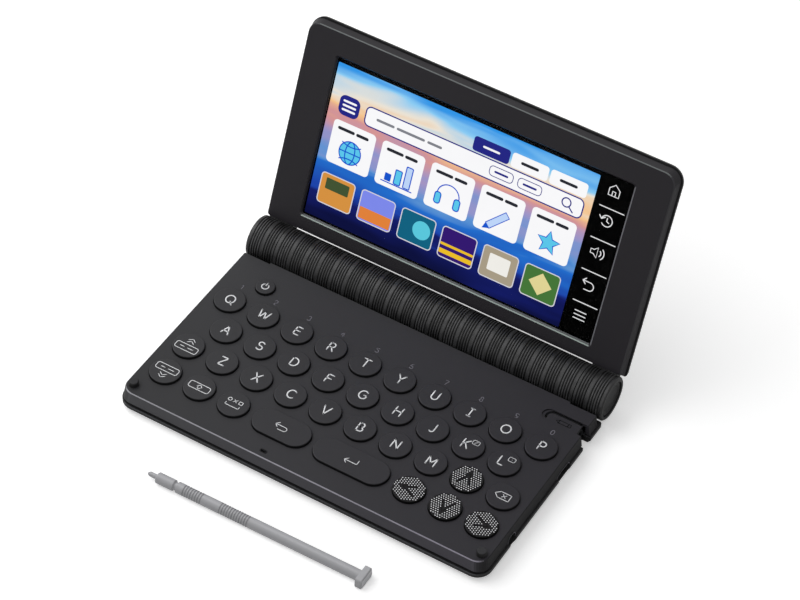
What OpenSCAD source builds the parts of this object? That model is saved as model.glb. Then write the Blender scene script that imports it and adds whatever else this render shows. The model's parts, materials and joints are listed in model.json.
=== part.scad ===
// Pocket electronic dictionary: a keyboard base, a display lid and the barrel
// hinge between them, with its stylus lying on the table in front.
// Every height and depth below is measured from the hinge axis, which runs
// along X through the middle of the barrel. X is right, Y is back, Z is up.
// The lid is drawn closed, lying over the deck, and then turned open.
// The cells set the barrel's size, the barrel sets the width of the case, and
// the stylus's tube sets its height.

/* [Power cells] */
// Diameter of one AA cell
cell_d = 14.2; // [13.8:0.1:14.5]
// Length of one AA cell with its nub
cell_len = 50.4; // [49.5:0.1:50.5]
// Radial clearance of the cells in the sleeve
cell_fit = 0.35; // [0.3:0.05:0.6]
// Space for the spring at the left end of the cells
spring_space = 5; // [4:0.1:6]
// Thickness of the contact plates
contact_t = 0.5; // [0.3:0.05:0.6]
// Depth of the battery cover's tongue under the tray
tongue_d = 6.3; // [5:0.1:8]
// Clearance around the battery cover
cover_gap = 0.2; // [0.15:0.05:0.3]

/* [Hinge barrel] */
// Wall thickness of the battery sleeve
sleeve_wall = 0.95; // [0.8:0.05:1.2]
// Length of the sleeve past the cells' room, at each end
sleeve_end = 8.7; // [7:0.1:12]
// Length of each end knuckle, which turns with the lid
knuckle_len = 11.6; // [10:0.1:14]
// Gap between a knuckle and the sleeve
knuckle_gap = 0.3; // [0.2:0.05:0.5]
// Diameter of the hinge pins
pin_d = 4; // [3:0.1:5]
// Radial running clearance of the hinge pins
pin_fit = 0.05; // [0.03:0.01:0.09]
// Clearance between the barrel and the table
barrel_lift = 0.4; // [0.3:0.05:0.8]
// Spacing of the turned grooves within a group
groove_pitch = 0.98; // [0.9:0.01:1.05]
// Number of grooves in a group
groove_count = 5; // [3:1:5]
// Spacing of the groove groups
group_pitch = 5.86; // [5.6:0.02:6.4]
// Width of a groove at the surface
groove_w = 0.6; // [0.4:0.05:0.7]
// Depth of a groove
groove_depth = 0.28; // [0.15:0.01:0.35]

/* [Case] */
// Inset of the deck's side edges from the ends of the barrel
deck_inset = 0.8; // [0.7:0.1:2]
// Distance from the hinge axis forward to the deck's front edge
deck_front = 89.2; // [85:0.1:100]
// Thickness of the deck
deck_t = 1.2; // [1:0.05:1.3]
// Thickness of the case's side walls
case_wall = 1.2; // [0.9:0.1:1.4]
// Radius of the case's corners
corner_r = 4.5; // [3.5:0.5:6]
// Outward draft of the upper case's walls, from top to bottom
wall_draft = 0.6; // [0.2:0.1:0.8]
// Height of the upper case's walls
upper_h = 4.65; // [4:0.05:5]
// Height of the dark gap between the two halves of a shell
seam_gap = 0.7; // [0.4:0.1:0.9]
// Distance that the lower tray stands out past the deck's edge
tray_step = 1.2; // [1:0.1:1.6]
// Thickness of the tray's floor
floor_t = 1.2; // [0.9:0.1:1.3]
// Gap between the deck's rear edge and the barrel
rear_gap = 0.8; // [0.6:0.1:1.2]
// Thickness of the rubber feet below the tray
foot_h = 0.6; // [0.5:0.05:1]

/* [Keys] */
// Distance from the deck's side edge to the middle of the outer keys
key_side = 9.12; // [9:0.02:12]
// Gap between neighbouring keys
key_gap = 1.7; // [1.7:0.1:3]
// Radial clearance of the keys in the deck's holes
key_fit = 0.2; // [0.15:0.05:0.3]
// Distance from the hinge axis to the first letter row
first_row = 33.4; // [33:0.1:35]
// Distance from the deck's front edge to the command row
last_row = 14.7; // [14:0.1:18]
// Spacing that the command row has more than the letter rows
command_extra = 1.2; // [0:0.1:2]
// Height of the keys above the deck
key_rise = 1.05; // [0.8:0.05:1.2]
// Travel of the keys
key_travel = 0.8; // [0.5:0.05:1]
// Radius of the rounding at the top edge of a key
key_edge = 0.35; // [0.2:0.05:0.6]
// Width of the flange that keeps a key under the deck
flange_w = 0.7; // [0.4:0.05:0.7]
// Thickness of that flange
flange_t = 0.7; // [0.5:0.05:0.8]
// Length between the ends of the enter key's two round ends
enter_len = 17.8; // [12:0.1:20]
// Gap between the back key and the enter key
long_gap = 2.22; // [1.7:0.02:4]
// Diameter of the power key
power_d = 7.2; // [6:0.1:8]
// Distance from the first letter row back to the power key
power_back = 12.4; // [11:0.1:12.6]

/* [Lid] */
// Opening angle of the lid, from closed
lid_open = 110.8; // [95:0.1:140]
// Inset of the bezel's side edges from the ends of the barrel
bezel_inset = 0.7; // [0.6:0.1:2]
// Distance that the bezel's far edge stays behind the deck's front edge, lid closed
lid_setback = 1.74; // [1:0.02:4]
// Gap between the lid's near end and the barrel
lid_gap = 0.45; // [0.4:0.05:1]
// Slant of the lid's near end, which faces the barrel
end_slant = 25; // [15:1:30]
// Gap between the bezel's face and the keys, lid closed
close_gap = 1.33; // [0.8:0.01:2]
// Thickness of the bezel's face
bezel_t = 1.2; // [0.9:0.1:1.5]
// Thickness of the lid cover's back
cover_t = 1; // [0.8:0.05:1.2]
// Height of the lid cover behind the seam
cover_h = 1.45; // [1.2:0.05:1.8]
// Distance that the lid cover stands out past the bezel's edge
cover_step = 1.2; // [1:0.1:1.4]
// Clearance between the lid's shells and what they hold
lid_fit = 0.05; // [0.03:0.01:0.1]

/* [Screen] */
// Distance from the bezel's side edges to the window
window_side = 12.9; // [11:0.1:20]
// Sideways shift of the window from the middle of the lid
window_x = -0.3; // [-1:0.1:1]
// Distance from the bezel's near edge to the window
window_low = 5.25; // [4:0.01:8]
// Distance from the window to the bezel's far edge
window_high = 8.72; // [6:0.02:14]
// Width of the sloping frame around the window
window_slope = 0.7; // [0.4:0.1:0.9]
// Thickness of the touch glass
glass_t = 0.7; // [0.5:0.05:1]
// Margin of the touch glass behind the bezel, past the window
glass_margin = 1.8; // [1:0.1:1.9]
// Width of the strip of touch keys at the right of the picture
strip_w = 14.1; // [10:0.1:20]
// Margin of the panel's edge past its picture
panel_margin = 2; // [1.5:0.1:2.2]
// Thickness of the display panel
panel_t = 2.1; // [1.5:0.05:3]
// Space behind the display panel
panel_gap = 0.72; // [0.3:0.02:1.5]

/* [Stylus] */
// Diameter of the stylus shaft
stylus_d = 4.1; // [3.6:0.1:5]
// Length of the stylus, from the tip to the outer face of its head
stylus_len = 87.6; // [70:0.1:100]
// Length of the stylus's bare tip
nib_len = 3.8; // [3:0.1:5]
// Width of the flat head across the stylus
head_w = 7.5; // [6:0.1:7.6]
// Thickness of the head along the stylus
head_t = 2.6; // [2:0.1:2.8]
// Distance between the case and the middle of the stylus on the table
stylus_away = 19.8; // [12:0.1:40]
// Sideways place of the head's outer face
head_x = 40.9; // [0:0.1:60]
// Turn of the stylus where it lies
stylus_turn = 0.6; // [0:0.1:5]
// Radial clearance of the stylus in its tube
tube_fit = 0.25; // [0.15:0.05:0.3]
// Wall of the stylus's tube
tube_wall = 0.5; // [0.4:0.05:0.8]
// Clearance on each side of the stylus's head in its notch
notch_fit = 0.6; // [0.4:0.1:1]
// Distance that the stylus's head stands out of its notch
head_proud = 0.5; // [0.3:0.1:1]
// Depth of the corner post behind the notch
post_d = 5.7; // [5.5:0.1:7]

/* [Inside] */
// Thickness of the main board
board_t = 0.9; // [0.8:0.05:1]
// Thickness of the rubber key sheet
sheet_t = 0.4; // [0.3:0.05:0.5]
// Diameter of the case screws' shanks
screw_d = 1.9; // [1.6:0.1:2]
// Diameter of the case screws' heads
screw_head_d = 3.8; // [3.2:0.1:4]
// Diameter of the screw bosses
boss_d = 4.4; // [4:0.1:4.6]
// Bore of the earphone jack
jack_bore = 3.6; // [3.5:0.05:3.6]
// Height of the earphone jack
jack_h = 4.1; // [3.9:0.05:4.5]
// Distance from the deck's front edge to the earphone jack
jack_place = 18.9; // [18:0.1:20]
// Distance from the hinge axis to the data port
port_back = 34.4; // [34:0.1:35]
// Diameter of the speaker
speaker_d = 16; // [12:0.5:18]

/* [Hidden] */
$fn = 64;
hull_fn = 32;
tiny = 0.01;
cut = 1;
// Clearance of pieces that only stay beside each other, or lie on each other
snug = 0.05;
near = 0.1;

// Barrel
barrel_r = cell_d / 2 + cell_fit + sleeve_wall;
sleeve_r = barrel_r - sleeve_wall;
cells_len = 2 * cell_len;
room_half = (cells_len + spring_space + 2 * contact_t) / 2;
cells_x = room_half - contact_t - cells_len;
sleeve_half = room_half + sleeve_end;
knuckle_in = sleeve_half + knuckle_gap;
barrel_half = knuckle_in + knuckle_len;
plug_d = pin_d + 4;
plug_len = sleeve_end / 2;
pin_end_wall = 4.6;
pin_reach = barrel_half - pin_end_wall;
cap_r = barrel_r - 1.6;
cap_t = 0.8;
cap_sunk = 0.5;

// Plan of the base
deck_half = barrel_half - deck_inset;
tray_half = deck_half + tray_step;
tray_front = deck_front + tray_step;
deck_rear = -(barrel_r + rear_gap);
post_rear = deck_rear - 0.7;
tray_rear = -(barrel_r - 1.3);
inner_half = deck_half - case_wall;
inner_front = deck_front - case_wall;
lip_fit = 0.1;
lip_wall = 0.8;
lip_half = inner_half - lip_fit;
lip_front = inner_front - lip_fit;
cavity_half = lip_half - lip_wall;
cavity_front = lip_front - lip_wall;
deck_edge = 0.3;
rim_chamfer_in = 1.1;
rim_chamfer_up = 1.4;

// The stylus and its tube
stylus_r = stylus_d / 2;
head_h = stylus_d + 0.2;
tube_bore = stylus_r + tube_fit;
tube_r = tube_bore + tube_wall;
notch_w = head_h + 2 * notch_fit;
notch_x = deck_half - head_t + head_proud;
notch_back = post_rear - post_d;
notch_front = notch_back - notch_w;
tube_y = (notch_back + notch_front) / 2;
tube_len = stylus_len - head_t + 3;
stylus_lies = tray_front + stylus_away;

// Inside height of the case: the taller of the stylus's tube, and a pressed key over the jack
dome_gap = 0.1;
key_stack = near + flange_t + key_travel;
inside_h = max(2 * tube_r + 0.35, key_stack + 0.2 + jack_h + snug);

// Heights of the base, from the table up
table_z = -(barrel_r + barrel_lift);
under_z = table_z + foot_h;
floor_top = under_z + floor_t;
deck_under = floor_top + inside_h;
deck_z = deck_under + deck_t;
upper_low = deck_z - upper_h;
rim_z = upper_low - seam_gap;
lip_top = upper_low + 0.6;
tube_z = (deck_under + floor_top) / 2;

// Key heights, from the top down
key_top = deck_z + key_rise;
flange_top = deck_under - near;
flange_low = flange_top - flange_t;
dome_top = flange_low - key_travel - dome_gap;
sheet_top = dome_top - 0.15;
board_top = sheet_top - sheet_t;
board_low = board_top - board_t;

// Names of the keys, row by row
TOP_ROW = ["q", "w", "e", "r", "t", "y", "u", "i", "o", "p"];
HOME_ROW = ["a", "s", "d", "f", "g", "h", "j", "k", "l"];
LOW_ROW = ["previous", "z", "x", "c", "v", "b", "n", "m", "arrow_up", "delete"];
COMMAND_ROW = ["next", "shift", "space", "", "", "", "", "arrow_left", "arrow_down", "arrow_right"];

// The keys fill the deck's width, and the rows its depth in front of the first one
row_left = -(deck_half - key_side);
key_pitch = -2 * row_left / 9;
row_pitch = (deck_front - last_row - first_row - command_extra) / 3;
key_d = min(key_pitch, row_pitch) - key_gap;
top_y = -first_row;
home_y = top_y - row_pitch;
low_y = home_y - row_pitch;
command_y = low_y - row_pitch - command_extra;

// Each round key is [name, x, y]
ROUND_KEYS = concat(
    [for (i = [0 : 9]) [TOP_ROW[i], row_left + i * key_pitch, top_y]],
    [for (i = [0 : 8]) [HOME_ROW[i], row_left + (i + 0.5) * key_pitch, home_y]],
    [for (i = [0 : 9]) [LOW_ROW[i], row_left + i * key_pitch, low_y]],
    [for (i = [0 : 9]) if (COMMAND_ROW[i] != "") [COMMAND_ROW[i], row_left + i * key_pitch, command_y]]
);
// Each long key is [name, x of its middle, y, length between its round ends]
back_len = 3 * key_pitch - enter_len - key_d - long_gap;
back_x = row_left + 3 * key_pitch + back_len / 2;
enter_x = row_left + 6 * key_pitch - enter_len / 2;
LONG_KEYS = [["back", back_x, command_y, back_len], ["enter", enter_x, command_y, enter_len]];
power_x = row_left + 0.5 * key_pitch;
power_y = top_y + power_back;

// Battery sleeve, its web and the battery cover
window_cut_z = -1.5;
cover_plate = 0.85;
cover_front = tongue_d - post_rear;
web_front = deck_rear - 4.7;
web_top = deck_under - near;
web_low = floor_top + snug;
web_half = sleeve_half - 0.2;

// Heights of the lid, closed
bezel_z = key_top + close_gap;
bezel_under = bezel_z + bezel_t;
glass_z = bezel_under + lid_fit;
panel_z = glass_z + glass_t + lid_fit;
cover_in = panel_z + panel_t + panel_gap;
cover_top = cover_in + cover_t;
cover_rim_z = cover_top - cover_h;
bezel_top = cover_rim_z - seam_gap;
cover_edge = 0.6;

// Plan of the lid. Its near end slants round the barrel, and the end of the cover is bevelled
// so that the open lid stays above the battery cover
function near_at(z) = (barrel_r + lid_gap - z * sin(end_slant)) / cos(end_slant);
end_bevel = 0.65;
bezel_near = near_at(bezel_z);
cover_near = near_at(cover_rim_z);
bezel_far = deck_front - lid_setback;
bezel_half = barrel_half - bezel_inset;
cover_half = bezel_half + cover_step;
cover_far = bezel_far + cover_step;
window_near = bezel_near + window_low;
window_far = bezel_far - window_high;
window_half = bezel_half - window_side;
picture_low = 1.05;
picture_high = 2.95;
picture_side = 0.9;
picture_near = window_near + picture_low;
picture_far = window_far - picture_high;
picture_left = window_x - window_half + picture_side;
picture_right = window_x + window_half - strip_w;

// Arms of the knuckles inside the lid
arm_in = knuckle_in + 0.6;
arm_w = 8.2;
arm_z = bezel_under + lid_fit;
arm_len = 20;
arm_slot = 0.2;

// Screws on each side: beside the stylus's tube, beside the keys and at the front corner
screw_side = 4.5;
corner_screw_side = 6.5;
corner_screw_front = 3.7;
rear_screw = [inner_half - screw_side, tube_y + tube_r + near + boss_d / 2];
side_screw = [inner_half - screw_side, home_y];
front_screw = [inner_half - corner_screw_side, -(inner_front - corner_screw_front)];
SCREWS = [for (s = [-1, 1], p = [rear_screw, side_screw, front_screw]) [s * p[0], p[1]]];
screw_head_t = 0.9;
screw_head_z = under_z + screw_head_t;
screw_top = deck_under - 0.8;
boss_low = floor_top + snug;

// Board, with its sockets at the right side, and the speaker
board_rear = tube_y - tube_r - 1.2;
board_inset = 0.6;
sheet_inset = 1;
tab_w = 12;
socket_mouth = deck_half - 0.9;
port_w = 7.5;
port_h = 2.5;
port_len = 5;
port_wall = 0.4;
port_z = board_low - port_h / 2 - snug;
jack_back = deck_front - jack_place;
jack_z = floor_top + snug + jack_h / 2;
jack_w = 4.6;
jack_len = 12;
jack_nose = 4.8;
speaker_side = 33.1;
speaker_front = 12;
speaker_x = -(cavity_half - speaker_side);
speaker_y = -(cavity_front - speaker_front);
speaker_step = 2.8;
speaker_h = board_low - floor_top - 0.2;
sound_slot_len = 7;
sound_slot_pitch = 1.8;

// Rubber feet and bumpers
foot_side = 16.2;
foot_front = 2.6;
front_foot_x = deck_half - foot_side;
front_foot_y = -(cavity_front - foot_front);
foot_len = 6;
foot_r = 2;
foot_sunk = 0.3;
rear_foot_x = (room_half + sleeve_half) / 2;
rear_foot_w = 5;
rear_foot_d = 4.4;
rear_foot_seat = -(barrel_r - 0.4);
bumper_x = deck_half - 2.9;
bumper_y = -(deck_front - 4.1);
bumper_d = 3.6;
bumper_top = bezel_z - 0.3;
bumper_stem = 2.2;

// The whole set stands on the table, centred on its length
lid_rear = max(
    -cover_far * cos(lid_open) + (cover_top - cover_edge) * sin(lid_open),
    -(cover_far - cover_edge) * cos(lid_open) + cover_top * sin(lid_open)
);
set_front = stylus_lies + head_w / 2 * cos(stylus_turn) + head_t * sin(stylus_turn);
axis_y = (set_front - lid_rear) / 2;
axis_z = -table_z;

module at_axis() {
    translate([0, axis_y, axis_z]) children();
}

module at_lid() {
    at_axis() rotate([-lid_open, 0, 0]) children();
}

module pair() {
    for (s = [0, 1]) mirror([s, 0, 0]) children();
}

// A rounded plan, from the front edge back to the rear edge
module plan(half, front, rear, r, rear_r = 1) {
    square_w = 2 * half;
    depth = rear + front;
    translate([-half + r, -front]) square([square_w - 2 * r, depth]);
    translate([-half, -front + r]) square([square_w, depth - r - rear_r]);
    translate([-half + rear_r, -front + r]) square([square_w - 2 * rear_r, depth - r]);
    for (s = [-1, 1]) {
        translate([s * (half - r), -front + r]) circle(r);
        translate([s * (half - rear_r), rear - rear_r]) circle(rear_r);
    }
}

module slab(half, front, rear, r, low, high) {
    translate([0, 0, low]) linear_extrude(high - low) plan(half, front, rear, r);
}

// One thin level of a blended shell
module level(half, front, rear, r, z) {
    translate([0, 0, z - tiny / 2]) linear_extrude(tiny) plan(half, front, rear, r, $fn = hull_fn);
}

// Round bar along X
module x_bar(r, from, to) {
    translate([from, 0, 0]) rotate([0, 90, 0]) cylinder(r = r, h = to - from);
}

// Groove centres that lie clear inside a stretch of the barrel
function grooves(from, to) = [
    for (g = [-20 : 20], i = [0 : groove_count - 1])
        let (x = g * group_pitch + (i - (groove_count - 1) / 2) * groove_pitch)
            if (x > from + groove_w && x < to - groove_w) x
];

// A turned stretch of the barrel with its grooves, between two places on X
module turned(from, to, edge = 0) {
    rings = [
        for (x = grooves(from, to), k = [-1, 0, 1])
            [barrel_r - (k == 0 ? groove_depth : 0), x + k * groove_w / 2]
    ];
    outline = concat(
        [[0, from], [barrel_r, from]],
        rings,
        [[barrel_r, to - edge], [barrel_r - edge, to], [0, to]]
    );
    rotate([0, 90, 0]) rotate_extrude() polygon(outline);
}

module key_holes() {
    for (k = ROUND_KEYS)
        translate([k[1], k[2], deck_under - cut]) cylinder(d = key_d + 2 * key_fit, h = deck_t + 2 * cut);
    for (k = LONG_KEYS)
        translate([k[1], k[2], deck_under - cut])
            linear_extrude(deck_t + 2 * cut) capsule(k[3], key_d / 2 + key_fit);
    translate([power_x, power_y, deck_under - cut]) cylinder(d = power_d + 2 * key_fit, h = deck_t + 2 * cut);
}

module capsule(len, r) {
    square([len, 2 * r], center = true);
    for (s = [-1, 1]) translate([s * len / 2, 0]) circle(r);
}

// Opening in the right wall, rounded at both ends, along Y
module side_opening(back, width, height, z) {
    translate([inner_half - 4, -back, z]) rotate([90, 0, 90])
        linear_extrude(tray_half - inner_half + 6) capsule(width - height, height / 2);
}

module port_openings() {
    side_opening(port_back, port_w + 1.4, port_h + 1.1, port_z);
    side_opening(jack_back, jack_nose + 0.2, jack_nose + 0.2 - tiny, jack_z);
}

// The notch at the rear right that takes the stylus's head
module notch() {
    translate([notch_x, notch_front, under_z - cut])
        cube([tray_half - notch_x + cut, notch_w, deck_z - under_z + 2 * cut]);
}

// Upper half of the case, with the key holes in its deck
module upper_case() {
    recess_x = deck_half - 14.2;
    recess_r = notch_w / 2;
    recess_deep = 0.5;
    mic_x = -15.6;
    mic_front = 2.8;
    mic_len = 1.4;
    mic_r = 0.4;
    color([0.2, 0.2, 0.21]) at_axis() {
        difference() {
            hull() {
                level(deck_half - deck_edge, deck_front - deck_edge, deck_rear, corner_r, deck_z);
                level(deck_half, deck_front, deck_rear, corner_r, deck_z - deck_edge);
                level(deck_half + wall_draft, deck_front + wall_draft, deck_rear, corner_r, upper_low);
            }
            slab(inner_half, inner_front, post_rear - case_wall, corner_r - case_wall / 2, upper_low - cut,
                deck_under);
            // The middle of the rear wall is left out for the barrel's web
            translate([-sleeve_half, web_front - 0.2, upper_low - cut])
                cube([2 * sleeve_half, deck_rear - web_front + cut, deck_under - upper_low + cut]);
            // The rear edge steps forward in front of the knuckles
            pair() translate([sleeve_half + 0.2, post_rear, upper_low - cut])
                cube([knuckle_len + cut, deck_rear - post_rear + cut, upper_h + 2 * cut]);
            key_holes();
            port_openings();
            notch();
            // Shallow recess in the deck beside the notch
            translate([recess_x, tube_y, deck_z - recess_deep]) {
                cylinder(r = recess_r, h = cut);
                translate([0, -recess_r, 0]) cube([deck_half - recess_x + cut, 2 * recess_r, cut]);
            }
            // Microphone slot
            translate([mic_x, -(deck_front - mic_front), deck_under - cut])
                linear_extrude(deck_t + 2 * cut) capsule(mic_len, mic_r);
            for (s = [-1, 1]) translate([s * bumper_x, bumper_y, deck_under - cut])
                cylinder(d = bumper_stem + near, h = deck_t + 2 * cut, $fn = 24);
        }
        for (p = SCREWS) translate([p[0], p[1], boss_low]) difference() {
            cylinder(d = boss_d, h = deck_under - boss_low + tiny, $fn = 32);
            translate([0, 0, -cut])
                cylinder(d = screw_d + near, h = screw_top - boss_low + cut + 0.3, $fn = 24);
        }
    }
}

// Lower half of the case: the tray that the board and the speaker lie in
module lower_case() {
    color([0.13, 0.13, 0.14]) at_axis() difference() {
        union() {
            hull() {
                level(tray_half, tray_front, tray_rear, corner_r + tray_step, rim_z);
                level(tray_half, tray_front, tray_rear, corner_r + tray_step, under_z + rim_chamfer_up);
                level(tray_half - rim_chamfer_in, tray_front - rim_chamfer_in, tray_rear,
                    corner_r + tray_step - rim_chamfer_in, under_z);
            }
            slab(lip_half, lip_front, post_rear - case_wall - lip_fit, corner_r - case_wall / 2, rim_z - 1,
                lip_top);
        }
        slab(cavity_half, cavity_front, post_rear - case_wall - lip_fit - lip_wall, corner_r - 1, floor_top,
            lip_top + cut);
        // The rear is open where the barrel's web stands
        translate([-sleeve_half, web_front - 0.2, floor_top])
            cube([2 * sleeve_half, tray_rear - web_front + cut, lip_top - floor_top + cut]);
        // The battery cover's tongue closes this gap in the floor
        translate([-(room_half + cover_gap), -(cover_front + cover_gap), under_z - cut])
            cube([2 * (room_half + cover_gap), cover_front + cut, floor_t + 2 * cut]);
        port_openings();
        notch();
        for (p = SCREWS) translate([p[0], p[1], under_z - cut]) {
            cylinder(d = screw_d + 0.3, h = floor_t + 2 * cut, $fn = 24);
            cylinder(d = screw_head_d + 0.3, h = screw_head_t + cut, $fn = 32);
            translate([0, 0, floor_t + cut]) cylinder(d = boss_d + 0.2, h = inside_h, $fn = 32);
        }
        for (s = [-1, 1]) translate([s * front_foot_x, front_foot_y, under_z - cut])
            linear_extrude(cut + foot_sunk) capsule(foot_len, foot_r);
        for (i = [-3 : 3]) translate([speaker_x + i * sound_slot_pitch, speaker_y, under_z - cut])
            linear_extrude(floor_t + 2 * cut) rotate(90) capsule(sound_slot_len, 0.4);
    }
}

// Battery sleeve: the ribbed middle of the barrel, with the web that joins it to the case
module barrel_sleeve() {
    pocket_pitch = 22;
    pocket_len = 19;
    pocket_wall = 1.2;
    color([0.17, 0.17, 0.18]) at_axis() difference() {
        union() {
            turned(-sleeve_half, sleeve_half);
            translate([-web_half, web_front, web_low])
                cube([2 * web_half, -sleeve_r - web_front, web_top - web_low]);
        }
        x_bar(sleeve_r, -room_half, room_half);
        pair() x_bar(plug_d / 2 + snug, room_half - cut, sleeve_half + cut);
        // Window for the cells
        translate([-(room_half + cover_gap), -sleeve_r, -barrel_r - cut])
            cube([2 * (room_half + cover_gap), 2 * barrel_r, window_cut_z + barrel_r + cut]);
        // Pockets in the web
        for (i = [-2 : 2]) translate([i * pocket_pitch - pocket_len / 2, web_front + pocket_wall, web_low - cut])
            cube([pocket_len, deck_rear - web_front - 2, web_top - web_low - pocket_wall + cut]);
        for (s = [-1, 1]) translate([s * rear_foot_x, 0, table_z - cut])
            cube([rear_foot_w + near, rear_foot_d + near, 2 * (rear_foot_seat - table_z + cut)], center = true);
    }
}

// Battery cover: the rear quarter of the ribbed barrel with a flat tongue under it
module battery_cover() {
    color([0.17, 0.17, 0.18]) at_axis() difference() {
        union() {
            intersection() {
                turned(-sleeve_half, sleeve_half);
                translate([-room_half, 0, -barrel_r - cut])
                    cube([2 * room_half, 2 * barrel_r, window_cut_z - cover_gap + barrel_r + cut]);
            }
            translate([-room_half, -cover_front, -barrel_r])
                cube([2 * room_half, cover_front + tiny, cover_plate]);
        }
        x_bar(sleeve_r, -room_half - cut, room_half + cut);
        // Finger grip grooves in the tongue
        for (i = [-2 : 2]) translate([i * 2.4, -cover_front + 4, -barrel_r - cut])
            linear_extrude(cut + 0.3) capsule(0.6, 0.4);
    }
}

// Two AA cells end to end, each with its nub
module cells() {
    nub = 1.2;
    nub_r = 2.6;
    color([0.75, 0.6, 0.3]) at_axis() for (i = [0, 1]) translate([cells_x + i * cell_len, 0, 0]) {
        x_bar(cell_d / 2, tiny, cell_len - nub);
        x_bar(nub_r, cell_len - nub - tiny, cell_len - tiny);
    }
}

// A coil wire: rings of points along a helix, joined to one closed skin
module coil(r_big, r_small, wire, length, turns) {
    steps = 14;
    sides = 6;
    n = turns * steps;
    function ring(k) = let (t = k / n, a = 360 * turns * t, r = r_big + (r_small - r_big) * t) [
        for (s = [0 : sides - 1]) let (w = 360 * s / sides, q = r + wire / 2 * cos(w))
            [t * length + wire / 2 * sin(w), q * cos(a), q * sin(a)]
    ];
    points = [for (k = [0 : n]) each ring(k)];
    faces = concat(
        [[for (s = [sides - 1 : -1 : 0]) s]],
        [for (k = [0 : n - 1], s = [0 : sides - 1]) let (next = (s + 1) % sides)
            [k * sides + s, k * sides + next, (k + 1) * sides + next, (k + 1) * sides + s]],
        [[for (s = [0 : sides - 1]) n * sides + s]]
    );
    polyhedron(points = points, faces = faces);
}

// Contact plates at both ends of the cells, and the spring at the left end
module battery_contacts() {
    wire = 0.8;
    coil_big = cell_d / 2 - 2.1;
    coil_small = 3;
    color([0.8, 0.8, 0.78]) at_axis() {
        translate([-room_half + contact_t / 2, 0, 0]) contact_plate();
        translate([room_half - contact_t / 2, 0, 0]) contact_plate();
        translate([-room_half + contact_t + wire / 2 - snug, 0, 0])
            coil(coil_big, coil_small, wire, spring_space - wire - near, 4);
    }
}

module contact_plate() {
    plate_w = cell_d - 3.2;
    plate_h = cell_d - 1.8;
    intersection() {
        cube([contact_t - 2 * tiny, plate_w, plate_h], center = true);
        x_bar(sleeve_r - 0.15, -cut, cut);
    }
}

// Steel hinge pins: a plug in the sleeve's end and a shaft in the knuckle
module hinge_pins() {
    color([0.7, 0.7, 0.72]) at_axis() pair() {
        x_bar(plug_d / 2, sleeve_half - plug_len, sleeve_half);
        x_bar(pin_d / 2, sleeve_half - tiny, pin_reach);
    }
}

// Plan that the board and the key sheet share: clear of the stylus's tube,
// with a tab under the power key
module board_slab(margin, low, high) {
    slab(cavity_half - margin, cavity_front - margin, board_rear, 2, low, high);
    tab_root = 3;
    translate([power_x - tab_w / 2, board_rear - tab_root, low])
        cube([tab_w, power_y + power_d / 2 - board_rear + tab_root, high - low]);
}

// Main board with its chips, the data port and the earphone jack
module main_board() {
    chips = [[-8, 1.7, 14, 14, 1.3], [14, -0.3, 10, 12, 1.1], [36, 4.7, 12, 8, 1], [-36, 4.7, 20, 16, 1.6]];
    color([0.05, 0.3, 0.15]) at_axis() {
        difference() {
            board_slab(board_inset, board_low, board_top);
            for (p = SCREWS) translate([p[0], p[1], board_low - cut])
                cylinder(d = boss_d + 1, h = board_t + 2 * cut, $fn = 32);
            translate([socket_mouth - jack_len + tiny, -jack_back - jack_w / 2 + tiny, board_low - cut])
                cube([jack_len, jack_w - 2 * tiny, board_t + 2 * cut]);
        }
        for (c = chips) translate([c[0], home_y + c[1], board_low - c[4] / 2 + tiny])
            cube([c[2], c[3], c[4]], center = true);
        // Data port: a folded metal shell, open to the side
        translate([socket_mouth - port_len, -port_back, port_z]) difference() {
            translate([0, -port_w / 2, -port_h / 2]) cube([port_len, port_w, port_h + 2 * snug]);
            translate([0.5, -port_w / 2 + port_wall, -port_h / 2 + port_wall])
                cube([port_len, port_w - 2 * port_wall, port_h - 2 * port_wall]);
        }
        // Earphone jack: a round bore in a low block, with a round nose in the wall
        translate([socket_mouth, -jack_back, jack_z]) difference() {
            union() {
                translate([-jack_len, -jack_w / 2, -jack_h / 2])
                    cube([cavity_half - near - socket_mouth + jack_len, jack_w, jack_h]);
                x_bar(jack_nose / 2, cavity_half - near - tiny - socket_mouth, 0);
            }
            x_bar(jack_bore / 2, -jack_len + 1, cut);
        }
    }
}

// Rubber key sheet on the board, with one dome under each key
module key_sheet() {
    dome_base = 1.7;
    dome_tip = 1.2;
    color([0.5, 0.5, 0.5]) at_axis() difference() {
        union() {
            board_slab(sheet_inset, board_top, sheet_top);
            for (k = concat(ROUND_KEYS, LONG_KEYS, [["power", power_x, power_y]]))
                translate([k[1], k[2], sheet_top - tiny])
                    cylinder(r1 = dome_base, r2 = dome_tip, h = dome_top - sheet_top + tiny, $fn = 24);
        }
        for (p = SCREWS) translate([p[0], p[1], board_top - cut])
            cylinder(d = boss_d + 1, h = sheet_t + 2 * cut, $fn = 32);
        translate([socket_mouth - jack_len - near, -jack_back - jack_w / 2 - near, board_top - cut])
            cube([jack_len + cut, jack_w + 2 * near, sheet_t + 2 * cut]);
    }
}

// Tube in the base that the stylus is kept in
module stylus_tube() {
    color([0.25, 0.25, 0.26]) at_axis() translate([0, tube_y, tube_z]) difference() {
        x_bar(tube_r, notch_x - tube_len - 1, notch_x - snug);
        x_bar(tube_bore, notch_x - tube_len, notch_x + cut);
    }
}

// Small speaker over the slots in the tray's floor
module speaker() {
    magnet_d = speaker_d - 2 * speaker_step;
    color([0.1, 0.1, 0.1]) at_axis() translate([speaker_x, speaker_y, floor_top + snug]) {
        cylinder(d = speaker_d, h = speaker_h * 0.6);
        cylinder(d = magnet_d, h = speaker_h);
    }
}

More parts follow.
